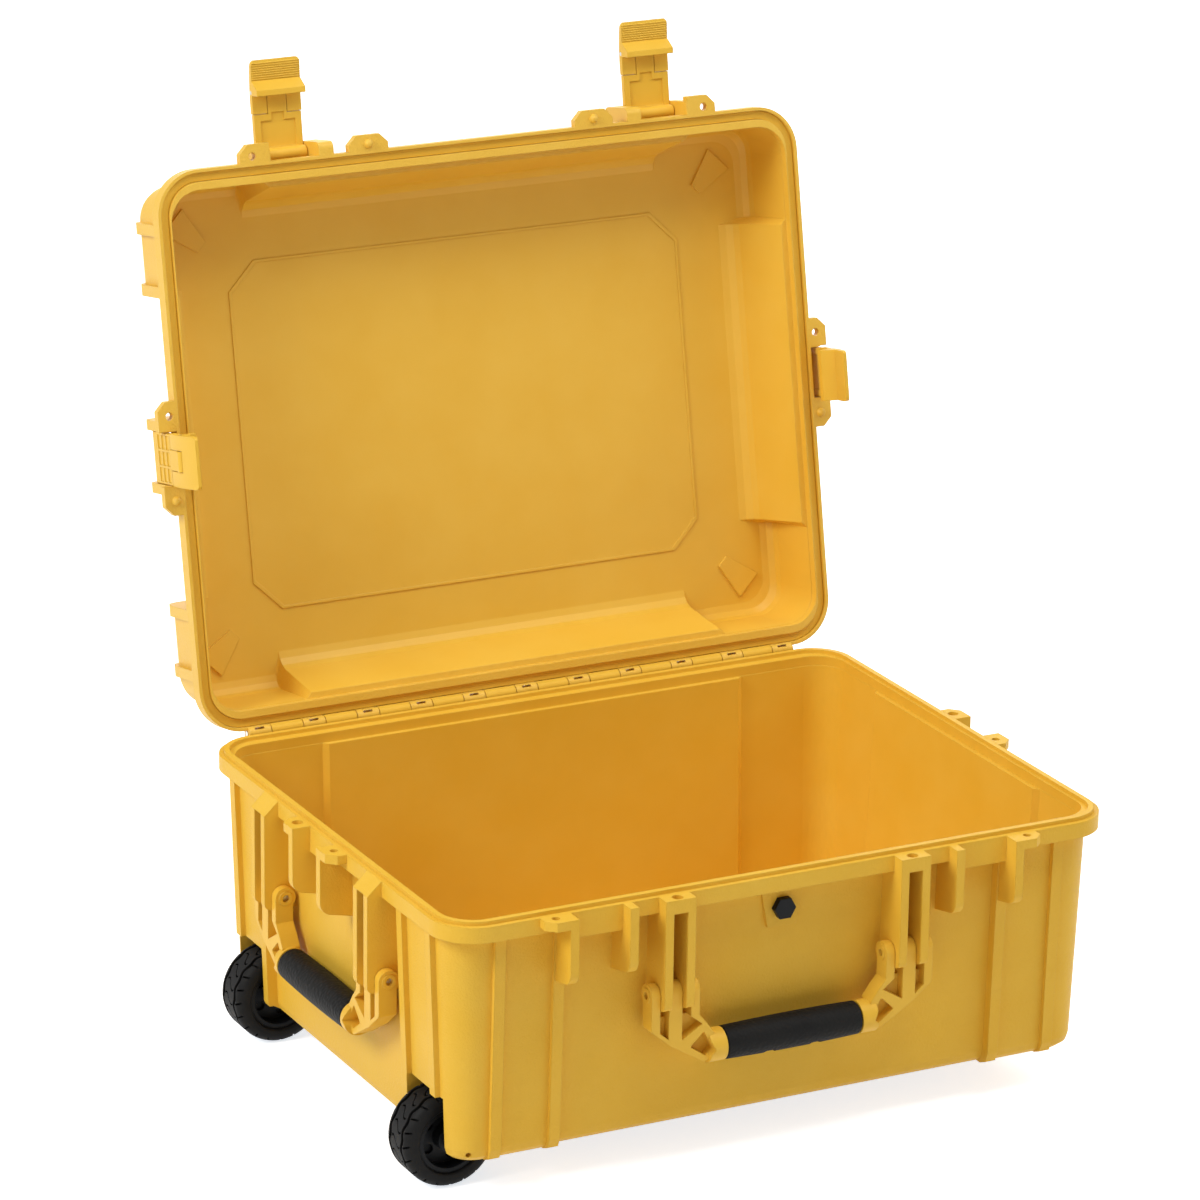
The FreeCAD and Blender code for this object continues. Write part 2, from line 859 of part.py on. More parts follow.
def latch_ears(side, along, widths):
    """Two ears on the lid that hold a latch arm's pin between them."""
    inner = SIDES[side][2] + lid_panel_far_recess
    near = latch_width / 2 + latch_end_gap
    points = [(inner, parting_gap), (-ear_reach, parting_gap), (-ear_reach, ear_height), (inner, ear_height)]
    radii = [0, ear_round, ear_round, 0]
    left = prism_x(points, -near - widths[0], -near, radii)
    right = prism_x(points, near, near + widths[1], radii)
    return [seat(left, side, along), seat(right, side, along)]


def arm_bore():
    reach = latch_width / 2 + latch_end_gap + outer_ear_width / 2
    return rod_x(arm_pin_radius + pin_clearance, -reach, reach, -arm_pivot_reach, arm_pivot_rise)


def nub():
    """A dome that drops into a hole of the base."""
    dome = Part.makeSphere(nub_radius, V(0, 0, nub_radius - nub_height))
    return dome.common(rod_z(nub_radius, -nub_height, parting_gap + overrun, 0, 0))


def nub_tab():
    plate = tab(nub_tab_half_length, nub_tab_reach, (True, True), parting_gap, tab_thickness)
    return plate.fuse(moved(nub(), 0, -nub_reach, 0))


def lid_side_tabs(side):
    """A padlock tab towards the front of a side and a nub tab towards its back."""
    shapes = []
    for end in (-1, 1):
        hole = (0, padlock_hole_reach, padlock_hole_radius) if end == toward_front(side) else None
        plate = tab(end_tab_half_length, tab_reach, (end < 0, end > 0), parting_gap, tab_thickness, hole)
        if not hole:
            plate = plate.fuse(moved(nub(), 0, -padlock_hole_reach, 0))
        shapes.append(seat(plate, side, end * end_tab_from_latch))
    return shapes


def knuckle_window(x):
    """A short slot through the lid's flange beside a knuckle, left by the core that moulds it."""
    low = (x - knuckle_window_length / 2, half_depth - knuckle_window_width, base_height - knuckle_radius)
    high = (x + knuckle_window_length / 2, half_depth, base_height + flange_height + overrun)
    return box(low, high)


def lid_seal():
    """A flat-sided seal that lies in the bottom of the lid's groove and meets the base's tongue."""
    inset = tongue_inset - groove_wall_gap + seal_wall_gap
    width = tongue_width + 2 * groove_wall_gap - 2 * seal_wall_gap
    start = base_height + tongue_height + seal_gap
    return rim_ring(inset, width, start, base_height + groove_depth)


# Latches


def latch_places():
    return {
        "front_left": ("front", -latch_from_middle),
        "front_right": ("front", latch_from_middle),
        "left": ("left", 0),
        "right": ("right", 0),
    }


def latch_arm():
    """A plate that stands off its barrel between the lid's ears, with a tongue for the lever's pin."""
    half = latch_width / 2
    outer = arm_inner_reach + arm_thickness
    top = arm_pivot_rise + arm_barrel_radius
    shoulder = -lever_pivot_drop + lever_tail + lever_slot_gap
    barrel = rod_x(arm_barrel_radius, -half, half, -arm_pivot_reach, arm_pivot_rise)
    neck_points = [
        (-arm_pivot_reach, top), (-outer, top), (-outer, arm_pivot_rise - arm_barrel_radius),
        (-arm_pivot_reach, arm_pivot_rise - arm_barrel_radius),
    ]
    neck = prism_x(neck_points, -half, half, [0, arm_barrel_radius, 0, 0])
    plate = box((-half, -outer, shoulder), (half, -arm_inner_reach, arm_pivot_rise))
    half_tongue = tongue_half_width
    tip = rod_x(lever_barrel_radius, -half_tongue, half_tongue, -lever_pivot_reach, -lever_pivot_drop)
    tongue_low = (-tongue_half_width, -lever_pivot_reach - arm_thickness / 2, -lever_pivot_drop)
    tongue = box(tongue_low, (tongue_half_width, -arm_inner_reach, shoulder))
    arm = join([barrel, neck, plate, tip, tongue])
    panel_half = half - arm_panel_margin
    panel_high = arm_pivot_rise - arm_barrel_radius - overrun
    panel = box(
        (-panel_half, -arm_inner_reach - arm_panel_depth, shoulder + arm_panel_margin),
        (panel_half, -arm_inner_reach + overrun, panel_high),
    )
    stem_half = tongue_half_width - arm_panel_margin / 2
    stem = box(
        (-stem_half, -arm_inner_reach - arm_panel_depth, shoulder - overrun),
        (stem_half, -arm_inner_reach + overrun, shoulder + arm_panel_margin + overrun),
    )
    lever_hole = lever_pin_radius + pin_clearance
    bores = [
        rod_x(arm_pin_radius + pin_clearance, -latch_width, latch_width, -arm_pivot_reach, arm_pivot_rise),
        rod_x(lever_hole, -latch_width, latch_width, -lever_pivot_reach, -lever_pivot_drop),
    ]
    return arm.cut([panel, stem] + arm_grid(half, outer, shoulder, panel_high) + bores).removeSplitter()


def arm_grid(half, outer, low, high):
    """Shallow square pockets over the arm's outer face, which leave a grid of fine ribs."""
    width = (2 * half - arm_grid_line) / arm_grid_count
    height = (high - low - arm_grid_line) / arm_grid_count
    pockets = []
    for column in range(arm_grid_count):
        for row in range(arm_grid_count):
            x = -half + arm_grid_line + column * width
            z = low + arm_grid_line + row * height
            far = (x + width - arm_grid_line, -outer + arm_grid_depth, z + height - arm_grid_line)
            pockets.append(box((x, -outer - overrun, z), far))
    return pockets


def lever_wire():
    """The lever's section in the plane x = 0: a bulging back, a thin tip, a ribbed underside and the hook."""
    outer = arm_inner_reach + arm_thickness
    top = -lever_pivot_drop + lever_tail
    hook_top = -catch_drop - hook_clearance
    ramp_end = hook_top - hook_height - hook_ramp
    bulge = lever_bulge + (outer - lever_tip_outer_reach) * lever_bulge_share
    middle = (-(outer + lever_tip_outer_reach) / 2 - bulge, (top - lever_tip_drop) / 2)
    crown = V(0, -outer, top)
    tip = V(0, -lever_tip_outer_reach, -lever_tip_drop)
    edges = [Part.Arc(crown, V(0, *middle), tip).toShape()]
    points = [tip, V(0, -lever_tip_inner_reach, -lever_tip_drop)]
    run = lever_rib_count * lever_rib_pitch
    start = -lever_tip_drop + lever_rib_pitch
    for k in range(lever_rib_count):
        share = k / lever_rib_count
        reach = lever_tip_inner_reach + (lever_rib_top_reach - lever_tip_inner_reach) * share
        low = start + run * share
        points.append(V(0, -reach, low))
        points.append(V(0, -reach + lever_rib_height, low + lever_rib_pitch / 2))
    points += [
        V(0, -lever_rib_top_reach, start + run),
        V(0, hook_inner_reach, hook_top - hook_height),
        V(0, hook_inner_reach, hook_top),
        V(0, -arm_inner_reach, hook_top),
        V(0, -arm_inner_reach, top),
        crown,
    ]
    for first, second in zip(points, points[1:]):
        edges.append(Part.LineSegment(first, second).toShape())
    return Part.Wire(edges)


def latch_lever():
    """The pull lever: two ears beside the arm's tongue, a hook for the catch plate and a ribbed finger pull."""
    half = lever_width / 2
    section = Part.Face(lever_wire())
    section.translate(V(-half, 0, 0))
    body = section.extrude(V(lever_width, 0, 0))
    top = -lever_pivot_drop + lever_tail
    tip = -lever_tip_drop
    high, low = top + overrun, tip - overrun / 2
    plan = [(-half, high), (half, high), (half, low), (-half, low)]
    rounds = [0, 0, lever_corner_round, lever_corner_round]
    body = body.common(prism_y(plan, -lever_width, lever_width, rounds))
    gap_half = tongue_half_width + lever_slot_gap
    relief = lever_barrel_radius + lever_slot_gap
    slot_low = (-gap_half, -lever_width, -lever_pivot_drop)
    slot = box(slot_low, (gap_half, -lever_pivot_reach + relief, top + overrun))
    round_gap = rod_x(relief, -gap_half, gap_half, -lever_pivot_reach, -lever_pivot_drop)
    mouth_low = (-gap_half, -lever_width, -lever_pivot_drop - relief)
    swing = box(mouth_low, (gap_half, -lever_pivot_reach, -lever_pivot_drop + overrun))
    hole = lever_pin_radius + pin_clearance
    bore = rod_x(hole, -lever_width, lever_width, -lever_pivot_reach, -lever_pivot_drop)
    return body.cut([slot, round_gap, swing, bore]).removeSplitter()


def arm_pin():
    reach = latch_width / 2 + latch_end_gap + outer_ear_width / 2
    return rod_x(arm_pin_radius, -reach, reach, -arm_pivot_reach, arm_pivot_rise)


def lever_pin():
    reach = lever_width / 2
    return rod_x(lever_pin_radius, -reach, reach, -lever_pivot_reach, -lever_pivot_drop)


def latch_nodes():
    """Every latch's pieces, the front ones thrown up and the side ones hanging as when closed."""
    nodes = {}
    for name, (side, along) in latch_places().items():
        angle = front_latch_angle if side == "front" else 0
        pivot = V(0, -arm_pivot_reach, arm_pivot_rise)
        pieces = {"arm": latch_arm(), "lever": latch_lever(), "lever_pin": lever_pin(), "arm_pin": arm_pin()}
        for piece, shape in pieces.items():
            thrown = turned(shape, pivot, -X_AXIS, angle)
            nodes["%s_latch_%s" % (name, piece)] = open_lid(seat(thrown, side, along))
    return nodes


# Carrying handles


def tine_spans():
    """Where the outer, middle and inner tines of an arm start and stop, outwards from the lug's middle."""
    fin_far = lug_slot_width / 2 + lug_fin_width + tine_gap
    middle = lug_slot_width / 2 - tine_gap
    return [(fin_far, fin_far + outer_tine_width), (-middle, middle), (-fin_far - outer_tine_width, -fin_far)]


def handle_arm(half_span, collar):
    """The right-hand half of a handle's frame: three tines, a ribbed arm and half of the grip's core."""
    pivot_y = -handle_pivot_reach
    pivot_z = -handle_pivot_drop
    front, back = pivot_y - tine_radius, pivot_y + tine_back
    shapes = []
    for start, end in tine_spans():
        low, high = half_span + start, half_span + end
        shapes.append(rod_x(tine_radius, low, high, pivot_y, pivot_z))
        shapes.append(box((low, front, pivot_z - arm_shoulder_drop - overrun), (high, back, pivot_z)))
    outer, inner = tine_spans()[0], tine_spans()[2]
    for start, end in ((outer[1], outer[1] + pin_boss_height), (inner[0] - pin_boss_height, inner[0])):
        shapes.append(rod_x(pin_boss_radius, half_span + start, half_span + end, pivot_y, pivot_z))
    outline_points = [
        (half_span + inner[0], pivot_z - arm_shoulder_drop),
        (half_span + outer[1], pivot_z - arm_shoulder_drop),
        (half_span + outer[1], pivot_z - arm_outer_drop),
        (half_span + arm_knee_reach, pivot_z - arm_knee_drop),
        (half_span - arm_heel_reach, pivot_z - arm_heel_drop),
        (half_span - arm_throat_reach, pivot_z - arm_throat_drop),
        (half_span - arm_neck_reach, pivot_z - arm_neck_drop),
    ]
    rounds = [0, 0] + [arm_edge_round] * 3 + [0, 0]
    shapes.append(prism_y(outline_points, front, back, rounds))
    grip_y, grip_z = pivot_y - grip_reach, pivot_z - grip_drop
    shapes.append(rod_x(grip_end_radius, collar, half_span - arm_heel_reach, grip_y, grip_z))
    shapes.append(rod_x(grip_core_radius, 0, collar + overrun, grip_y, grip_z))
    bore = rod_x(handle_pin_radius + pin_clearance, 0, half_length, pivot_y, pivot_z)
    return join(shapes).cut(arm_pockets(half_span, pivot_z, front) + [bore])


def arm_pockets(half_span, pivot_z, face):
    """Pockets in the arm's outer face: two below the lug's fins and one beside the grip."""
    outer, middle, inner = tine_spans()
    top = pivot_z - arm_shoulder_drop + overrun
    slope = (arm_knee_drop - arm_outer_drop) / (outer[1] - arm_knee_reach)
    edge = pivot_z - arm_outer_drop + arm_rib
    outlines = [
        [
            (middle[1], top),
            (outer[0], top),
            (outer[0], edge - slope * (outer[1] - outer[0])),
            (middle[1], edge - slope * (outer[1] - middle[1])),
        ],
        [
            (inner[1], top),
            (middle[0], top),
            (middle[0], pivot_z - arm_knee_drop + arm_rib),
            (-arm_neck_reach + arm_rib, pivot_z - arm_neck_drop),
            (inner[1], pivot_z - arm_shoulder_drop),
        ],
    ]
    pockets = []
    for points in outlines:
        corners = [(half_span + x, z) for x, z in points]
        pockets.append(prism_y(corners, face - overrun, face + arm_pocket_depth))
    web = [
        (half_span - web_pocket_high_reach, pivot_z - web_pocket_high_drop),
        (half_span - web_pocket_near_reach, pivot_z - web_pocket_near_drop),
        (half_span - web_pocket_low_reach, pivot_z - web_pocket_low_drop),
        (half_span - web_pocket_far_reach, pivot_z - web_pocket_far_drop),
    ]
    rounds = [web_pocket_round] * len(web)
    pockets.append(prism_y(web, face - overrun - grip_end_radius, face + arm_pocket_depth, rounds))
    return pockets


def handle_frame(half_span, collar):
    half = handle_arm(half_span, collar)
    return half.fuse(mirrored(half)).removeSplitter()


def handle_grip(collar):
    """A moulded rubber sleeve on the frame's core, fuller in its middle, with finger hollows underneath."""
    y = -handle_pivot_reach - grip_reach
    z = -handle_pivot_drop - grip_drop
    half = collar - tine_gap
    bore = grip_core_radius + grip_core_gap
    shoulder = half - grip_end_round
    left, right = V(-shoulder, 0, grip_end_radius), V(shoulder, 0, grip_end_radius)
    side = Part.Arc(left, V(0, 0, grip_radius), right).toShape()
    low_end = grip_end_radius - grip_end_round
    corners = [
        V(shoulder, 0, grip_end_radius), V(half, 0, low_end), V(half, 0, bore),
        V(-half, 0, bore), V(-half, 0, low_end), V(-shoulder, 0, grip_end_radius),
    ]
    edges = [side] + [Part.LineSegment(a, b).toShape() for a, b in zip(corners, corners[1:])]
    sleeve = Part.Face(Part.Wire(edges)).revolve(ORIGIN, X_AXIS, 360)
    step = 2 * collar / (grip_finger_count + 1)
    hollows = []
    for k in range(grip_finger_count):
        place = (k - (grip_finger_count - 1) / 2) * step
        low = -grip_radius + grip_finger_depth - grip_finger_radius
        hollows.append(rod_y(grip_finger_radius, -grip_radius, grip_radius, place, low))
    return moved(sleeve.cut(hollows), 0, y, z)


def handle_pins(half_span):
    half = tine_spans()[0][1] - handle_pin_inset
    pins = []
    for end in (-1, 1):
        middle = end * half_span
        y, z = -handle_pivot_reach, -handle_pivot_drop
        pins.append(rod_x(handle_pin_radius, middle - half, middle + half, y, z))
    return Part.makeCompound(pins)


def handle_nodes():
    nodes = {}
    for side in ("front", "left", "right"):
        span, grip_start = front_handle_half_span, front_grip_from_pivot
        if side != "front":
            span, grip_start = end_handle_half_span, end_grip_from_pivot
        collar = span - grip_start
        nodes["%s_handle_frame" % side] = seat(handle_frame(span, collar), side)
        nodes["%s_handle_grip" % side] = seat(handle_grip(collar), side)
        nodes["%s_handle_pins" % side] = seat(handle_pins(span), side)
    return nodes


# Pressure valve

valve_z = -valve_drop
valve_wall_y = front_inset + panel_recess + base_draft * valve_drop / base_height
valve_face_y = valve_wall_y - valve_pad_proud


def valve_pad():
    """A raised trapezium on the front panel that gives the valve a flat seat."""
    inner = valve_wall_y + wall
    points = [
        (-valve_pad_top / 2, valve_z + valve_pad_height / 2),
        (valve_pad_top / 2, valve_z + valve_pad_height / 2),
        (valve_pad_bottom / 2, valve_z - valve_pad_height / 2),
        (-valve_pad_bottom / 2, valve_z - valve_pad_height / 2),
    ]
    return seat(prism_y(points, valve_face_y, inner), "front")


def valve_hole():
    radius = valve_stem_radius + valve_stem_clearance
    return seat(rod_y(radius, 0, valve_wall_y + 2 * wall + base_draft, 0, valve_z), "front")


def hex_y(flat, start, end, z):
    return prism_y([(x, z + h) for x, h in hexagon(flat)], start, end)


def valve_nodes():
    inside = valve_wall_y + wall + base_draft * valve_washer_radius / base_height
    head = hex_y(valve_flat, valve_face_y - valve_head_height, valve_face_y, valve_z)
    stem = rod_y(valve_stem_radius, valve_face_y - overrun, inside + valve_nut_height + overrun, 0, valve_z)
    tight = valve_stem_radius + valve_stem_clearance
    washer_ring = rod_y(valve_washer_radius, inside, inside + valve_washer_thickness, 0, valve_z)
    washer = washer_ring.cut(rod_y(tight, inside - overrun, inside + valve_nut_height, 0, valve_z))
    nut_start = inside + valve_washer_thickness
    nut = hex_y(valve_nut_flat, nut_start, nut_start + valve_nut_height, valve_z)
    nut = nut.cut(rod_y(tight, inside - overrun, inside + 2 * valve_nut_height, 0, valve_z))
    return {
        "valve_body": seat(head.fuse(stem).removeSplitter(), "front"),
        "valve_washer": seat(washer, "front"),
        "valve_nut": seat(nut, "front"),
    }


# Wheels


def axle_span(end):
    """The two ends of an axle, from inside the well's inner wall out to the corner's face."""
    inner = wheel_from_middle - wheel_width / 2 - well_wall_gap - wall - overrun
    outer = wheel_from_middle + wheel_width / 2 + well_front_gap + axle_overhang
    return sorted((end * inner, end * outer))


def axle_bore(end):
    """The axle's bore, with a fine hole on to the corner's face through which it can be driven out."""
    start, stop = axle_span(end)
    bore = rod_y(axle_radius + pin_clearance, start, stop, axle_x, axle_rise)
    low, high = sorted((end * wheel_from_middle, end * half_depth))
    return bore.fuse(rod_y(axle_drift_radius, low, high, axle_x, axle_rise))


def axle(end):
    start, stop = axle_span(end)
    return rod_y(axle_radius, start, stop, axle_x, axle_rise)


def revolved(points):
    """A ring about the Y axis from (radius, y) points."""
    wire = Part.makePolygon([V(r, y, 0) for r, y in points + [points[0]]])
    return Part.Face(wire).revolve(ORIGIN, Y_AXIS, 360)


def tyre():
    half = wheel_width / 2
    inner = wheel_radius - tyre_thickness
    crown = wheel_radius - tyre_shoulder / 2
    ring = revolved([
        (inner, -half + tyre_shoulder),
        (crown - tyre_shoulder, -half),
        (crown, -half + tyre_shoulder),
        (wheel_radius, -half + 2 * tyre_shoulder),
        (wheel_radius, half - 2 * tyre_shoulder),
        (crown, half - tyre_shoulder),
        (crown - tyre_shoulder, half),
        (inner, half - tyre_shoulder),
    ])
    grooves = []
    for k in range(tread_count):
        for row in (-1, 1):
            angle = 360 * (k + row * tread_row_share) / tread_count
            start = 0 if row > 0 else -half - overrun
            groove = box((-tread_width / 2, start, wheel_radius - tread_depth),
                         (tread_width / 2, start + half + overrun, wheel_radius + overrun))
            slant = turned(groove, V(0, 0, wheel_radius), Z_AXIS, row * tread_slant_angle)
            grooves.append(turned(slant, ORIGIN, Y_AXIS, angle))
    return ring.cut(grooves)


def hub():
    half = wheel_width / 2 - tyre_shoulder
    rim = wheel_radius - tyre_thickness - hub_gap
    rim_inner = rim - wall
    ring = revolved([(rim_inner, -half), (rim, -half), (rim, half), (rim_inner, half)])
    web = rod_y(rim_inner + overrun, -hub_web_thickness / 2, hub_web_thickness / 2, 0, 0)
    boss = rod_y(hub_boss_radius, -half, half, 0, 0)
    body = join([ring, web, boss])
    pitch = (rim_inner + hub_boss_radius) / 2
    radius = (rim_inner - hub_boss_radius) / 2 * hub_window_share * 2
    windows = []
    for k in range(hub_spoke_count):
        for end in (-1, 1):
            face = end * hub_web_thickness / 2
            low, high = sorted((face - end * hub_window_depth, face + end * overrun))
            window = rod_y(radius / 2, low, high, pitch, 0)
            windows.append(turned(window, ORIGIN, Y_AXIS, 360 * k / hub_spoke_count))
    seats = []
    for end in (-1, 1):
        low, high = sorted((end * half, end * (half - bush_length)))
        seats.append(rod_y(bush_radius + pin_clearance, low, high, 0, 0))
    through = rod_y(axle_radius + hub_bore_gap, -half - overrun, half + overrun, 0, 0)
    return body.cut(windows + seats + [through]).removeSplitter()


def hub_bushes(side):
    """Two bushes in a hub, each long enough to keep the wheel off its wall of the well."""
    half = wheel_width / 2 - tyre_shoulder
    bushes = []
    for end in (-1, 1):
        space = well_front_gap if end == side else well_wall_gap
        reach = wheel_width / 2 + space - wheel_washer_gap
        low, high = sorted((end * reach, end * (half - bush_length)))
        ring = rod_y(bush_radius, low, high, 0, 0)
        bushes.append(ring.cut(rod_y(axle_radius + pin_clearance, low - overrun, high + overrun, 0, 0)))
    return Part.makeCompound(bushes)


def wheel_nodes():
    nodes = {}
    for name, end in (("front", -1), ("rear", 1)):
        place = (axle_x, end * wheel_from_middle, axle_rise)
        nodes["%s_wheel_tyre" % name] = moved(tyre(), *place)
        nodes["%s_wheel_hub" % name] = moved(hub(), *place)
        nodes["%s_wheel_bushes" % name] = moved(hub_bushes(end), *place)
        nodes["%s_wheel_axle" % name] = axle(end)
    return nodes


# Pull handle


def pull_sleeve(end):
    """A fixed steel sleeve under the floor in which one tube of the pull handle slides."""
    y = end * pull_tube_from_middle
    start = base_end - pull_sleeve_length
    stop = base_end - pull_grip_depth - pull_finger_depth - wall
    outer = rod_x(sleeve_radius, start, stop, y, pull_tube_rise)
    bore = pull_tube_radius + pull_slide_gap
    return outer.cut(rod_x(bore, start - overrun, stop + overrun, y, pull_tube_rise))


def pull_tube(end):
    y = end * pull_tube_from_middle
    start = base_end - pull_sleeve_length + bush_stop_length
    stop = base_end - pull_grip_depth / 2
    outer = rod_x(pull_tube_radius, start, stop, y, pull_tube_rise)
    bore = pull_tube_radius - pull_tube_wall
    return outer.cut(rod_x(bore, start - overrun, stop + overrun, y, pull_tube_rise))


def pull_bush(end):
    """A plug in the tube's inner end that steadies it in the sleeve."""
    y = end * pull_tube_from_middle
    start = base_end - pull_sleeve_length + bush_stop_length
    radius = pull_tube_radius - pull_tube_wall
    plug = rod_x(radius - pin_clearance, start, start + bush_stop_length / 2, y, pull_tube_rise)
    head = rod_x(pull_tube_radius, start - bush_head_length, start, y, pull_tube_rise)
    return plug.fuse(head).removeSplitter()


def pull_grip():
    """The bar across the two tubes, rounded along its length."""
    low = (base_end - pull_grip_depth, -pull_grip_half_length, pull_tube_rise - pull_grip_height / 2)
    high = (base_end, pull_grip_half_length, pull_tube_rise + pull_grip_height / 2)
    bar = box(low, high)
    bar = bar.makeFillet(pull_grip_round, bar.Edges)
    sockets = []
    for end in (-1, 1):
        y = end * pull_tube_from_middle
        start, stop = low[0] - overrun, base_end - pull_grip_depth / 2
        sockets.append(rod_x(pull_tube_radius + pin_clearance, start, stop, y, pull_tube_rise))
    return bar.cut(sockets)


def screw_head(x, y):
    """The countersunk head of a cover screw, flush with the underside."""
    wide, narrow = cover_screw_head_radius, cover_screw_radius
    return Part.makeCone(wide, narrow, cover_screw_head_height, V(x, y, 0), Z_AXIS)


def channel_cover(end):
    """The plate that closes a channel from below, with countersunk screws."""
    middle = end * pull_tube_from_middle
    start = base_end - pull_sleeve_length - channel_gap - cover_margin + parting_gap
    stop = base_end - pull_grip_depth - pull_finger_depth - wall - parting_gap
    half = channel_half + cover_margin - parting_gap
    plate = box((start, middle - half, 0), (stop, middle + half, cover_thickness))
    holes = []
    for x, y in cover_screw_places(end):
        holes.append(rod_z(cover_screw_radius + cover_screw_gap, -overrun, cover_thickness + overrun, x, y))
        holes.append(screw_head(x, y))
    return plate.cut(holes)


def cover_screws():
    screws = []
    for end in (-1, 1):
        for x, y in cover_screw_places(end):
            stop = cover_thickness + cover_screw_length - overrun
            shank = rod_z(cover_screw_radius, cover_screw_head_height, stop, x, y)
            screws.append(screw_head(x, y).fuse(shank).removeSplitter())
    return Part.makeCompound(screws)


def pull_nodes():
    nodes = {"pull_grip": pull_grip(), "cover_screws": cover_screws()}
    nodes["pull_tube_bushes"] = Part.makeCompound([pull_bush(-1), pull_bush(1)])
    for name, end in (("front", -1), ("rear", 1)):
        nodes["%s_pull_tube" % name] = pull_tube(end)
        nodes["%s_pull_sleeve" % name] = pull_sleeve(end)
        nodes["%s_channel_cover" % name] = channel_cover(end)
    return nodes


def main():
    nodes = {
        "base_shell": base_shell(),
        "lid_shell": open_lid(lid_shell()),
        "lid_seal": open_lid(lid_seal()),
        "hinge_pin": hinge_pin(),
    }
    nodes.update(latch_nodes())
    nodes.update(handle_nodes())
    nodes.update(valve_nodes())
    nodes.update(wheel_nodes())
    nodes.update(pull_nodes())
    os.makedirs("parts", exist_ok=True)
    for name, shape in nodes.items():
        shape.exportStep("parts/%s.step" % name)
        print(name, len(shape.Solids), round(shape.Volume), shape.isValid())


main()
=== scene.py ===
# %% [markdown]
# # A wheeled protective case
# The case comes as solids, one object for each piece of the real thing, already in place and in metres.
# This lesson dresses it: moulded yellow plastic, black rubber, a little metal, plain soft light and a
# camera where the photographer stood. The shapes that are right stay as they are and only get a finish.

# %% Load the solids
import json
import math
import bpy
from mathutils import Matrix, Vector


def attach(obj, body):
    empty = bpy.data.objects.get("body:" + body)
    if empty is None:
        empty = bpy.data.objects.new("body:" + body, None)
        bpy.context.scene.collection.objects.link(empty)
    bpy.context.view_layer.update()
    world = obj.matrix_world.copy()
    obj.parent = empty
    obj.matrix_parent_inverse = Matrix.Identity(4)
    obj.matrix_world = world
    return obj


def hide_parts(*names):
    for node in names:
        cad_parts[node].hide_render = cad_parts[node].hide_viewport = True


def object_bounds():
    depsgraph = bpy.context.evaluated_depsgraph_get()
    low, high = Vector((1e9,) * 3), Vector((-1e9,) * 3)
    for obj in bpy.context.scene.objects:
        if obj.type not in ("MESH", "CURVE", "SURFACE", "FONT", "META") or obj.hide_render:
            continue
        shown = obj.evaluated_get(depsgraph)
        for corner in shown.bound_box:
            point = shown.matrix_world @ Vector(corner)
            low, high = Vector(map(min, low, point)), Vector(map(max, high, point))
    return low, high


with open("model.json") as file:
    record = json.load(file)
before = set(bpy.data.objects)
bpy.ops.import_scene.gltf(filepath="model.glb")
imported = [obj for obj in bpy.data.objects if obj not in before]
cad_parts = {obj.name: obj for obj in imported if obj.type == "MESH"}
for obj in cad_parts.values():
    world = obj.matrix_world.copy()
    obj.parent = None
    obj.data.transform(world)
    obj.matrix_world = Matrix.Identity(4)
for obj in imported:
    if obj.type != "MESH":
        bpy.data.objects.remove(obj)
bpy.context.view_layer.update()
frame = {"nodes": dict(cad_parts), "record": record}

nodes = frame["nodes"]

# %% [markdown]
# ## Two helpers for every finish
# Colours are written as web hex values, which is how a painter's chart gives them, and the shader wants
# linear light, so one function converts them. A second one adds a shader node with its settings and its
# links, which keeps each finish readable as a short list of nodes.

# %% Helpers for finishes
MM = 0.001


def linear(hex_colour):
    """The linear colour of an sRGB hex value."""
    shares = [int(hex_colour[i:i + 2], 16) / 255 for i in (1, 3, 5)]
    light = [s / 12.92 if s <= 0.04045 else ((s + 0.055) / 1.055) ** 2.4 for s in shares]
    return (*light, 1.0)


def add_node(tree, kind, settings=None, **links):
    """Adds a node, sets its attributes or its inputs, and links inputs to other nodes' outputs."""
    node = tree.nodes.new(kind)
    for name, value in (settings or {}).items():
        if hasattr(node, name):
            setattr(node, name, value)
        else:
            node.inputs[name].default_value = value
    for name, source in links.items():
        tree.links.new(source, node.inputs[name.replace("_", " ")])
    return node


def new_finish(name):
    """An empty material with its output node."""
    finish = bpy.data.materials.new(name)
    finish.use_nodes = True
    tree = finish.node_tree
    tree.nodes.clear()
    return finish, tree, tree.nodes.new("ShaderNodeOutputMaterial")


# %% [markdown]
# ## Moulded yellow polypropylene
# The shells are injection moulded from filled polypropylene. The steel mould was etched on the outside,
# so the walls have a fine leathery grain of about a millimetre, while the inside came off plain steel and
# looks smoother. The grain could be sculpted, but a bump is enough at this size. A face that looks away
# from the middle of its tub is on the outside, so the dot product of its place and its normal says where
# the grain belongs. A Bevel node gives each sharp edge the small round that every moulding has, so that
# edges catch the light.

# %% Yellow polypropylene with an etched grain
YELLOW = "#E7B93C"
YELLOW_PALER = "#EABF47"
GRAIN_WIDTH = 2.0 * MM  # about twice the real grain, which would be too fine to show
FLOW_WIDTH = 60 * MM
EDGE_ROUND = 1.1 * MM
POLYPROPYLENE_IOR = 1.49
GRAIN_STRENGTH = 0.8
FLOW_EDGES = (0.3, 0.75)  # where the noise starts and ends the change to the paler yellow
FLOW_GLOSS = 0.06  # how far the flow moves the roughness to either side
FITTINGS_MIDDLE = Vector((0, 0, 100 * MM))


def middle_of(solid):
    """The middle of a solid's box."""
    return sum((Vector(corner) for corner in solid.bound_box), Vector()) / 8


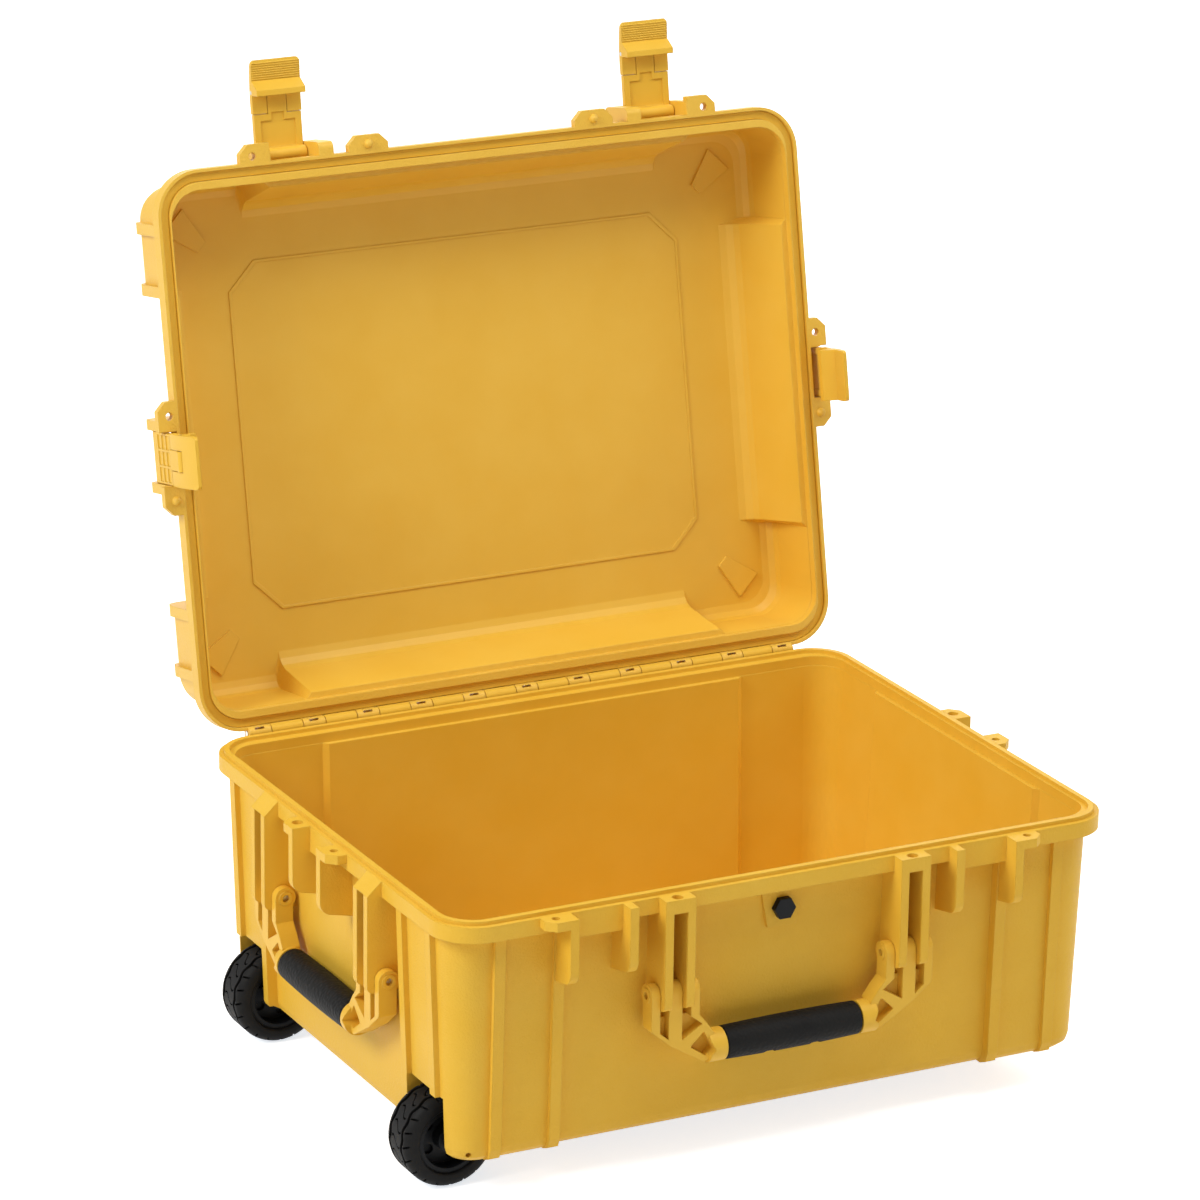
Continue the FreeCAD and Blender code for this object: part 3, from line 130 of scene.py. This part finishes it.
def yellow_polypropylene(name, grain_depth, roughness, sheen, tub_middle):
    """Satin moulded plastic: a fine grain outside, cloudy gloss, and paler patches where it flowed."""
    finish, tree, output = new_finish(name)
    place = add_node(tree, "ShaderNodeTexCoord")
    from_middle = add_node(tree, "ShaderNodeMapping", {"Location": -tub_middle},
                           Vector=place.outputs["Object"])
    facing = add_node(tree, "ShaderNodeVectorMath", {"operation": "DOT_PRODUCT"})
    tree.links.new(from_middle.outputs["Vector"], facing.inputs[0])
    tree.links.new(place.outputs["Normal"], facing.inputs[1])
    outside = add_node(tree, "ShaderNodeMath", {"operation": "GREATER_THAN"})
    tree.links.new(facing.outputs["Value"], outside.inputs[0])
    outside.inputs[1].default_value = 0.0
    grain = add_node(tree, "ShaderNodeTexNoise",
                     {"Scale": 1 / GRAIN_WIDTH, "Detail": 3.0, "Roughness": 0.6},
                     Vector=place.outputs["Object"])
    flow = add_node(tree, "ShaderNodeTexNoise", {"Scale": 1 / FLOW_WIDTH, "Detail": 4.0},
                    Vector=place.outputs["Object"])
    tint = add_node(tree, "ShaderNodeValToRGB", Fac=flow.outputs["Fac"])
    for stop, edge_place, colour in zip(tint.color_ramp.elements, FLOW_EDGES, (YELLOW, YELLOW_PALER)):
        stop.position = edge_place
        stop.color = linear(colour)
    gloss = add_node(tree, "ShaderNodeMapRange",
                     {"To Min": roughness - FLOW_GLOSS, "To Max": roughness + FLOW_GLOSS},
                     Value=flow.outputs["Fac"])
    edge = add_node(tree, "ShaderNodeBevel", {"samples": 4, "Radius": EDGE_ROUND})
    etched = add_node(tree, "ShaderNodeMath", {"operation": "MULTIPLY"})
    tree.links.new(grain.outputs["Fac"], etched.inputs[0])
    tree.links.new(outside.outputs["Value"], etched.inputs[1])
    bump = add_node(tree, "ShaderNodeBump", {"Strength": GRAIN_STRENGTH, "Distance": grain_depth},
                    Height=etched.outputs["Value"], Normal=edge.outputs["Normal"])
    plastic = add_node(tree, "ShaderNodeBsdfPrincipled",
                       {"IOR": POLYPROPYLENE_IOR, "Specular IOR Level": sheen},
                       Roughness=gloss.outputs["Result"], Normal=bump.outputs["Normal"])
    tree.links.new(tint.outputs["Color"], plastic.inputs["Base Color"])
    tree.links.new(plastic.outputs["BSDF"], output.inputs["Surface"])
    return finish


base_plastic = yellow_polypropylene("moulded_polypropylene_etched_base", 0.7 * MM, 0.46, 0.18,
                                    middle_of(nodes["base_shell"]))
lid_plastic = yellow_polypropylene("moulded_polypropylene_etched_lid", 0.7 * MM, 0.46, 0.5,
                                   middle_of(nodes["lid_shell"]))
fitting_plastic = yellow_polypropylene("moulded_polypropylene_satin", 0.05 * MM, 0.42, 0.25,
                                       FITTINGS_MIDDLE)
print("yellow finishes:", base_plastic.name, lid_plastic.name, fitting_plastic.name)

# %% [markdown]
# ## Black rubber and black plastic
# The grips are a soft rubber moulded over the handle, with a leathery skin. The tyres are a harder
# rubber, and the valve and the wheel hubs are glass-filled nylon with a faint satin sheen. None of them
# is pure black: under studio light they read as very dark grey, and the skin shows mainly as broken
# highlights.

# %% Blacks
RUBBER_IOR, RUBBER_SHEEN = 1.5, 0.12
SKIN_STRENGTH = 0.6
DUST_CELLS = 12  # a dusty patch is about this many cells wide
DUST_EDGES = (0.35, 0.8)
DUST_GLOSS = 0.08


def black_skin(name, colour, paler, cell, depth, roughness):
    """A dark moulded skin whose cells break up the highlights."""
    finish, tree, output = new_finish(name)
    place = add_node(tree, "ShaderNodeTexCoord")
    cells = add_node(tree, "ShaderNodeTexVoronoi", {"feature": "SMOOTH_F1", "Scale": 1 / cell},
                     Vector=place.outputs["Object"])
    dust = add_node(tree, "ShaderNodeTexNoise", {"Scale": 1 / (DUST_CELLS * cell), "Detail": 5.0},
                    Vector=place.outputs["Object"])
    tint = add_node(tree, "ShaderNodeValToRGB", Fac=dust.outputs["Fac"])
    for stop, edge_place, shade in zip(tint.color_ramp.elements, DUST_EDGES, (colour, paler)):
        stop.position = edge_place
        stop.color = linear(shade)
    gloss = add_node(tree, "ShaderNodeMapRange",
                     {"To Min": roughness - DUST_GLOSS, "To Max": roughness + DUST_GLOSS},
                     Value=dust.outputs["Fac"])
    edge = add_node(tree, "ShaderNodeBevel", {"samples": 4, "Radius": EDGE_ROUND})
    bump = add_node(tree, "ShaderNodeBump", {"Strength": SKIN_STRENGTH, "Distance": depth},
                    Height=cells.outputs["Distance"], Normal=edge.outputs["Normal"])
    skin = add_node(tree, "ShaderNodeBsdfPrincipled",
                    {"IOR": RUBBER_IOR, "Specular IOR Level": RUBBER_SHEEN},
                    Roughness=gloss.outputs["Result"], Normal=bump.outputs["Normal"])
    tree.links.new(tint.outputs["Color"], skin.inputs["Base Color"])
    tree.links.new(skin.outputs["BSDF"], output.inputs["Surface"])
    return finish


grip_rubber = black_skin("overmoulded_rubber_leathery", "#141414", "#1C1C1B", 3.0 * MM, 1.0 * MM, 0.6)
tyre_rubber = black_skin("moulded_tyre_rubber", "#131313", "#1B1B1B", 0.8 * MM, 0.05 * MM, 0.55)
black_nylon = black_skin("moulded_glass_filled_nylon", "#15171A", "#1D2023", 0.7 * MM, 0.03 * MM, 0.42)
print("black finishes:", grip_rubber.name, tyre_rubber.name, black_nylon.name)

# %% [markdown]
# ## Metals
# The hinge pin, the latch pins and the axles are drawn stainless bar, with fine streaks along the bar.
# The pull handle's tubes are anodised aluminium. Streaks come from a noise that is stretched along the
# bar.

# %% Drawn steel and anodised aluminium
ALONG_X = (0.04, 1.0, 1.0)  # stretches the noise 25 times along the bar
STREAK_DEPTH, STREAK_STRENGTH = 0.02 * MM, 0.3
SMOOTHER, ROUGHER = 0.08, 0.1


def drawn_metal(name, colour, streak, stretch, roughness):
    """A metal drawn through a die: thin streaks along the bar."""
    finish, tree, output = new_finish(name)
    place = add_node(tree, "ShaderNodeTexCoord")
    along = add_node(tree, "ShaderNodeMapping", {"Scale": stretch}, Vector=place.outputs["Object"])
    streaks = add_node(tree, "ShaderNodeTexNoise", {"Scale": 1 / streak, "Detail": 3.0},
                       Vector=along.outputs["Vector"])
    gloss = add_node(tree, "ShaderNodeMapRange",
                     {"To Min": roughness - SMOOTHER, "To Max": roughness + ROUGHER},
                     Value=streaks.outputs["Fac"])
    bump = add_node(tree, "ShaderNodeBump", {"Strength": STREAK_STRENGTH, "Distance": STREAK_DEPTH},
                    Height=streaks.outputs["Fac"])
    metal = add_node(tree, "ShaderNodeBsdfPrincipled", {"Metallic": 1.0, "Base Color": linear(colour)},
                     Roughness=gloss.outputs["Result"], Normal=bump.outputs["Normal"])
    tree.links.new(metal.outputs["BSDF"], output.inputs["Surface"])
    return finish


steel_bar = drawn_metal("drawn_stainless_steel", "#CFCBC4", 0.6 * MM, ALONG_X, 0.28)
aluminium_tube = drawn_metal("anodised_aluminium_tube", "#B4B7BB", 0.8 * MM, ALONG_X, 0.34)
print("metal finishes:", steel_bar.name, aluminium_tube.name)

# %% [markdown]
# ## Give each solid its finish
# The record says which material each piece is made of. The shells get the etched plastic and the smaller
# yellow fittings the satin one, because their moulds were not etched.

# %% Assign finishes
FINISH_OF_SLOT = {
    "yellow_plastic": fitting_plastic,
    "yellow_seal": fitting_plastic,
    "black_rubber": grip_rubber,
    "black_tyre": tyre_rubber,
    "black_plastic": black_nylon,
    "steel": steel_bar,
    "grey_aluminium": aluminium_tube,
}
FINISH_OF_SHELL = {"base_shell": base_plastic, "lid_shell": lid_plastic}

for piece in frame["record"]["subparts"]:
    solid = nodes[piece["node"]]
    finish = FINISH_OF_SHELL.get(piece["node"], FINISH_OF_SLOT[piece["material_slot"]])
    solid.data.materials.clear()
    solid.data.materials.append(finish)

# %% [markdown]
# ## The tyre's ring
# The wheels have small solid rubber tyres with a round shoulder, and a road tread with a wavy groove on
# each side. The solid has the right size but a plain tread, so a finer tyre takes its place. A tyre could
# be built from a cylinder, but spinning its profile gives the round shoulder at once: a rectangle, its
# corners bevelled, its face removed, and its outline spun round the axle. The same steps make the rings
# that cut the grooves.

# %% Spin a ring
TYRE_RADIUS, TYRE_BORE, TYRE_WIDTH = 42 * MM, 29 * MM, 42 * MM
SHOULDER_ROUND, BEAD_ROUND = 9 * MM, 2 * MM
RING_STEPS, SHOULDER_STEPS, BEAD_STEPS = 96, 8, 3
tyre_middle = middle_of(nodes["front_wheel_tyre"])


def select_points(piece, wanted):
    """Opens edit mode with only the points selected whose place is wanted."""
    bpy.ops.object.mode_set(mode="EDIT")
    bpy.ops.mesh.select_mode(type="VERT")
    bpy.ops.mesh.select_all(action="DESELECT")
    bpy.ops.object.mode_set(mode="OBJECT")
    for point in piece.data.vertices:
        point.select = wanted(point.co)
    bpy.ops.object.mode_set(mode="EDIT")


def spun_ring(name, middle, width, low, high, outer_round, inner_round):
    """A ring round a line across the case, from a rounded rectangle that is spun."""
    bpy.ops.object.select_all(action="DESELECT")
    profile_height = middle.z + (low + high) / 2
    bpy.ops.mesh.primitive_plane_add(size=1, location=(middle.x, middle.y, profile_height),
                                     rotation=(0, math.pi / 2, 0))
    ring = bpy.context.object
    ring.name = name
    ring.scale = (high - low, width, 1)
    bpy.ops.object.transform_apply(location=True, rotation=True, scale=True)
    select_points(ring, lambda place: place.z > profile_height)
    bpy.ops.mesh.bevel(offset=outer_round, segments=SHOULDER_STEPS, affect="VERTICES")
    select_points(ring, lambda place: place.z < middle.z + low + MM / 10)
    bpy.ops.mesh.bevel(offset=inner_round, segments=BEAD_STEPS, affect="VERTICES")
    bpy.ops.mesh.select_all(action="SELECT")
    bpy.ops.mesh.delete(type="ONLY_FACE")
    bpy.ops.mesh.select_all(action="SELECT")
    bpy.ops.mesh.spin(steps=RING_STEPS, angle=math.tau, center=middle, axis=(0, 1, 0))
    bpy.ops.mesh.select_all(action="SELECT")
    bpy.ops.mesh.remove_doubles(threshold=MM / 50)
    bpy.ops.mesh.normals_make_consistent(inside=False)
    bpy.ops.object.mode_set(mode="OBJECT")
    return ring


tyre = spun_ring("front_tyre", tyre_middle, TYRE_WIDTH, TYRE_BORE, TYRE_RADIUS,
                 SHOULDER_ROUND, BEAD_ROUND)
print("tyre ring of", len(tyre.data.polygons), "faces round", tuple(round(c, 4) for c in tyre_middle))

# %% [markdown]
# ## The tread
# The tread is what the tyre's mould leaves out: two wavy grooves where the band meets the shoulders,
# hooked cuts across the band, and short straight cuts in the shoulders. Each groove is a thin ring whose
# points are pushed from side to side. A cut is a narrow strip, bent row by row and pulled down into a
# block, and spin with duplicates sets it round the wheel. Boolean differences then take them out, as the
# mould's ribs do, and a merge closes the slivers that they leave.

# %% Wavy grooves
GROOVE_FROM_MIDDLE, GROOVE_WIDTH, GROOVE_DEPTH = 11.0 * MM, 3.8 * MM, 3.6 * MM
GROOVE_EDGE_ROUND, GROOVE_FLOOR_ROUND = 0.3 * MM, 0.5 * MM
GROOVE_WAVES, GROOVE_SWAY, CREST = 16, 0.9 * MM, 0.4
CUT_PAST = 2 * MM  # how far a cutter stands out of the tyre


def groove_wave(place):
    """How far round its wave a point of a groove is."""
    return math.sin(GROOVE_WAVES * math.atan2(place.z - tyre_middle.z, place.x - tyre_middle.x))


cutters = []
for side in (-1, 1):
    groove_middle = tyre_middle + Vector((0, side * GROOVE_FROM_MIDDLE, 0))
    groove = spun_ring("tread_groove", groove_middle, GROOVE_WIDTH, TYRE_RADIUS - GROOVE_DEPTH,
                       TYRE_RADIUS + CUT_PAST, GROOVE_EDGE_ROUND, GROOVE_FLOOR_ROUND)
    select_points(groove, lambda place: groove_wave(place) > CREST)
    bpy.ops.transform.translate(value=(0, GROOVE_SWAY, 0))
    select_points(groove, lambda place: groove_wave(place) < -CREST)
    bpy.ops.transform.translate(value=(0, -GROOVE_SWAY, 0))
    bpy.ops.object.mode_set(mode="OBJECT")
    cutters.append(groove)
print(len(cutters), "wavy grooves")

# %% Hooked cuts in the band and the shoulders
CUT_COUNT, CUT_WIDTH, CUT_ROWS = 20, 1.7 * MM, 9
BAND_LENGTH, BAND_DEPTH, BAND_HOOK, BAND_LEAN = 15 * MM, 2.4 * MM, 2.6 * MM, 3.2 * MM
SHOULDER_LENGTH, SHOULDER_DEPTH, SHOULDER_LEAN = 6 * MM, 4.2 * MM, 1.2 * MM
SHOULDER_FROM_MIDDLE = 16.5 * MM


def hooked_cuts(offset, length, depth, hook, lean):
    """Bent blocks set round the wheel, their middle at an offset from the tyre's middle."""
    bpy.ops.object.select_all(action="DESELECT")
    cut_y = tyre_middle.y + offset
    cut_top = tyre_middle.z + TYRE_RADIUS + CUT_PAST
    bpy.ops.mesh.primitive_plane_add(size=1, location=(tyre_middle.x, cut_y, cut_top))
    hooks = bpy.context.object
    hooks.name = "tread_cut"
    hooks.scale = (CUT_WIDTH, length, 1)
    bpy.ops.object.transform_apply(location=True, rotation=True, scale=True)
    bpy.ops.object.mode_set(mode="EDIT")
    bpy.ops.mesh.select_all(action="SELECT")
    bpy.ops.mesh.subdivide(number_cuts=CUT_ROWS)
    for row in range(CUT_ROWS + 2):
        across = 2 * row / (CUT_ROWS + 1) - 1
        row_y = cut_y + across * length / 2
        select_points(hooks, lambda place: abs(place.y - row_y) < MM / 10)
        bpy.ops.transform.translate(value=(hook * math.sin(math.pi * across) + lean * across, 0, 0))
    bpy.ops.mesh.select_all(action="SELECT")
    bpy.ops.mesh.extrude_region_move(TRANSFORM_OT_translate={"value": (0, 0, -CUT_PAST - depth)})
    bpy.ops.mesh.select_all(action="SELECT")
    bpy.ops.mesh.normals_make_consistent(inside=False)
    bpy.ops.mesh.spin(steps=CUT_COUNT - 1, dupli=True, angle=math.tau * (CUT_COUNT - 1) / CUT_COUNT,
                      center=tyre_middle, axis=(0, 1, 0))
    bpy.ops.object.mode_set(mode="OBJECT")
    return hooks


cutters.append(hooked_cuts(0, BAND_LENGTH, BAND_DEPTH, BAND_HOOK, BAND_LEAN))
for side in (-1, 1):
    cutters.append(hooked_cuts(side * SHOULDER_FROM_MIDDLE, SHOULDER_LENGTH, SHOULDER_DEPTH, 0,
                               side * SHOULDER_LEAN))
print(len(cutters), "cutters for the tread")

# %% Cut the tread and copy the tyre
SMOOTH_ANGLE = math.radians(32)
WELD = MM / 15  # the cuts leave slivers and doubled points that are closer than this


def make_active(piece):
    """Selects one piece alone, so that operators act on it."""
    bpy.ops.object.select_all(action="DESELECT")
    bpy.context.view_layer.objects.active = piece
    piece.select_set(True)


def cut_away(piece, cutter):
    """Takes a cutter's shape out of the active piece, and then removes the cutter."""
    cut = piece.modifiers.new("cut", "BOOLEAN")
    cut.operation = "DIFFERENCE"
    cut.solver = "MANIFOLD"
    cut.object = cutter
    bpy.ops.object.modifier_apply(modifier=cut.name)
    bpy.data.objects.remove(cutter)


make_active(tyre)
for cutter in cutters:
    cut_away(tyre, cutter)
bpy.ops.object.mode_set(mode="EDIT")
bpy.ops.mesh.select_mode(type="VERT")
bpy.ops.mesh.select_all(action="SELECT")
bpy.ops.mesh.remove_doubles(threshold=WELD)
bpy.ops.mesh.dissolve_degenerate(threshold=WELD)
bpy.ops.object.mode_set(mode="OBJECT")
bpy.ops.object.shade_smooth_by_angle(angle=SMOOTH_ANGLE)
tyre.data.materials.clear()
tyre.data.materials.append(tyre_rubber)

rear_tyre = tyre.copy()
rear_tyre.data = tyre.data.copy()
rear_tyre.name = "rear_tyre"
bpy.context.collection.objects.link(rear_tyre)
rear_tyre.data.transform(Matrix.Translation(middle_of(nodes["rear_wheel_tyre"]) - tyre_middle))

for piece, wheel in ((tyre, "front_wheel"), (rear_tyre, "rear_wheel")):
    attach(piece, wheel)
    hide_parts(wheel + "_tyre")
print("two tyres of", len(tyre.data.polygons), "faces")

# %% [markdown]
# ## Grips with finger notches
# The rubber is moulded over the handle's bar in one go, with two short hollows underneath that part the
# fingers. They could be pressed in with proportional editing, but a rounded block that is cut away gives
# the crisp ends that a mould leaves. The solid's mesh is loose triangles, so a copy of it is merged
# before it is cut.

# %% Notch a copy of each grip
NOTCH_LENGTH, NOTCH_DEPTH, NOTCH_SHARE = 11 * MM, 4.6 * MM, 0.34
NOTCH_BLOCK, NOTCH_ROUND, NOTCH_STEPS = 60 * MM, 1.8 * MM, 4

for body in ("front_handle", "left_handle", "right_handle"):
    solid = nodes[body + "_grip"]
    rubber = bpy.data.objects.new(body + "_rubber", solid.data.copy())
    bpy.context.collection.objects.link(rubber)
    make_active(rubber)
    bpy.ops.object.mode_set(mode="EDIT")
    bpy.ops.mesh.select_all(action="SELECT")
    bpy.ops.mesh.remove_doubles(threshold=MM / 100)
    bpy.ops.object.mode_set(mode="OBJECT")
    middle = middle_of(solid)
    size = solid.dimensions
    along = Vector((1, 0, 0)) if size.x > size.y else Vector((0, 1, 0))
    across = Vector((1, 1, 0)) - along
    for side in (-1, 1):
        place = middle + side * NOTCH_SHARE / 2 * max(size) * along
        place.z -= size.z / 2 - NOTCH_DEPTH + NOTCH_BLOCK / 2
        bpy.ops.object.select_all(action="DESELECT")
        bpy.ops.mesh.primitive_cube_add(size=1, location=place)
        block = bpy.context.object
        block.scale = NOTCH_LENGTH * along + NOTCH_BLOCK * across + Vector((0, 0, NOTCH_BLOCK))
        bpy.ops.object.transform_apply(location=True, rotation=True, scale=True)
        bpy.ops.object.mode_set(mode="EDIT")
        bpy.ops.mesh.select_all(action="SELECT")
        bpy.ops.mesh.bevel(offset=NOTCH_ROUND, segments=NOTCH_STEPS, affect="EDGES")
        bpy.ops.object.mode_set(mode="OBJECT")
        make_active(rubber)
        cut_away(rubber, block)
    bpy.ops.object.shade_smooth_by_angle(angle=SMOOTH_ANGLE)
    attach(rubber, body)
    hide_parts(body + "_grip")
    print(rubber.name, "has", len(rubber.data.polygons), "faces")

# %% [markdown]
# ## Floor and light
# The case stands in a white studio. A big soft lamp at the left lights the wheel end most, a weaker one
# above fills the tub, one at the right opens the shadows inside it, one behind lights the lid's back, and
# the white room does the rest. Rays from the camera or from a reflection see a white room, and all others
# see its dimmer, slightly warm light. The floor could simply be lit until it is white, but that would
# bleach the case too, so it has a faint glow that only those rays see, a little blue to even out the warm
# room.

# %% Floor
FLOOR_SIZE, FLOOR_GLOW = 40.0, 0.785


def seen_from(tree, ray, strength):
    """A socket with the strength for rays from the camera, a reflection or glass, and 0 for others."""
    direct = add_node(tree, "ShaderNodeMath", {"operation": "MAXIMUM"})
    tree.links.new(ray.outputs["Is Camera Ray"], direct.inputs[0])
    tree.links.new(ray.outputs["Is Glossy Ray"], direct.inputs[1])
    seen = add_node(tree, "ShaderNodeMath", {"operation": "MAXIMUM"})
    tree.links.new(direct.outputs["Value"], seen.inputs[0])
    tree.links.new(ray.outputs["Is Transmission Ray"], seen.inputs[1])
    scaled = add_node(tree, "ShaderNodeMath", {"operation": "MULTIPLY"})
    tree.links.new(seen.outputs["Value"], scaled.inputs[0])
    scaled.inputs[1].default_value = strength
    return scaled.outputs["Value"]


bpy.ops.object.select_all(action="DESELECT")
floor_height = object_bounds()[0].z
bpy.ops.mesh.primitive_plane_add(size=FLOOR_SIZE, location=(0, 0, floor_height))
floor = bpy.context.object
floor.name = "studio_floor"
white_floor, tree, output = new_finish("painted_studio_floor")
paint = add_node(tree, "ShaderNodeBsdfDiffuse", {"Color": linear("#F4F4F4")})
ray = add_node(tree, "ShaderNodeLightPath")
glow = add_node(tree, "ShaderNodeEmission", {"Color": linear("#F2F8FF")},
                Strength=seen_from(tree, ray, FLOOR_GLOW))
lit = add_node(tree, "ShaderNodeAddShader")
tree.links.new(paint.outputs["BSDF"], lit.inputs[0])
tree.links.new(glow.outputs["Emission"], lit.inputs[1])
tree.links.new(lit.outputs["Shader"], output.inputs["Surface"])
floor.data.materials.append(white_floor)
print("floor at", round(floor_height, 4))

# %% Room
ROOM_LIGHT, ROOM_SEEN = 0.31, 1.0

room = bpy.data.worlds.new("white_room")
bpy.context.scene.world = room
room.use_nodes = True
tree = room.node_tree
tree.nodes.clear()
ray = add_node(tree, "ShaderNodeLightPath")
dim = add_node(tree, "ShaderNodeBackground", {"Color": linear("#FFEFDA"), "Strength": ROOM_LIGHT})
white = add_node(tree, "ShaderNodeBackground", {"Color": linear("#FFFFFF"), "Strength": ROOM_SEEN})
blend = add_node(tree, "ShaderNodeMixShader", Fac=seen_from(tree, ray, 1.0))
tree.links.new(dim.outputs["Background"], blend.inputs[1])
tree.links.new(white.outputs["Background"], blend.inputs[2])
tree.links.new(blend.outputs["Shader"], add_node(tree, "ShaderNodeOutputWorld").inputs["Surface"])
print("world:", room.name, "with light", ROOM_LIGHT)

# %% Lamps
AIM = Vector((0, 0, 250 * MM))
LAMPS = {  # place in metres, size in metres, power in watts
    "left_soft_box": ((-3.2, -0.25, 2.6), 1.6, 90),
    "top_soft_box": ((0.3, -1.3, 4.2), 1.8, 58),
    "right_soft_box": ((3.0, -0.8, 3.0), 2.0, 42),
    "back_soft_box": ((1.2, 3.4, 2.4), 2.4, 45),
}

for name, (place, size, power) in LAMPS.items():
    bpy.ops.object.light_add(type="AREA", location=place)
    lamp = bpy.context.object
    lamp.name = name
    lamp.data.size = size
    lamp.data.energy = power
    lamp.rotation_mode = "QUATERNION"
    lamp.rotation_quaternion = (AIM - Vector(place)).to_track_quat("-Z", "Y")
print(len(LAMPS), "soft boxes")

# %% [markdown]
# ## Camera
# The camera was worked out from the photograph: lines of the rim, the lid and the ribs give the
# direction, and the slight convergence gives a long lens from about five metres away.

# %% Camera at the photographer's place
AZIMUTH, ELEVATION, ROLL = math.radians(-27.378), math.radians(18.504), math.radians(0.735)
SHIFT_X, SHIFT_Y, DISTANCE = 46.709 * MM, -155.275 * MM, 5019.792 * MM
RIM_HEIGHT = 218 * MM
FOCAL_SHARE = 5814.195 / 1200  # the focal length over the frame's width, both in pixels
SENSOR_WIDTH, CLIP_END = 36.0, 100.0

back = Vector((math.sin(AZIMUTH) * math.cos(ELEVATION),
               -math.cos(AZIMUTH) * math.cos(ELEVATION),
               math.sin(ELEVATION)))
level = Vector((math.cos(AZIMUTH), math.sin(AZIMUTH), 0))
upward = back.cross(level)
right = math.cos(ROLL) * level + math.sin(ROLL) * upward
up = math.cos(ROLL) * upward - math.sin(ROLL) * level
turn = Matrix((right, up, back)).transposed()
eye = turn @ Vector((-SHIFT_X, -SHIFT_Y, DISTANCE)) + Vector((0, 0, RIM_HEIGHT))

bpy.ops.object.camera_add()
camera = bpy.context.object
camera.matrix_world = Matrix.Translation(eye) @ turn.to_4x4()
camera.data.sensor_width = SENSOR_WIDTH
camera.data.lens = FOCAL_SHARE * SENSOR_WIDTH
camera.data.clip_end = CLIP_END
bpy.context.scene.camera = camera
bpy.context.scene.view_settings.view_transform = "Standard"
print("camera at", tuple(round(c, 3) for c in eye), "lens", round(camera.data.lens, 1))
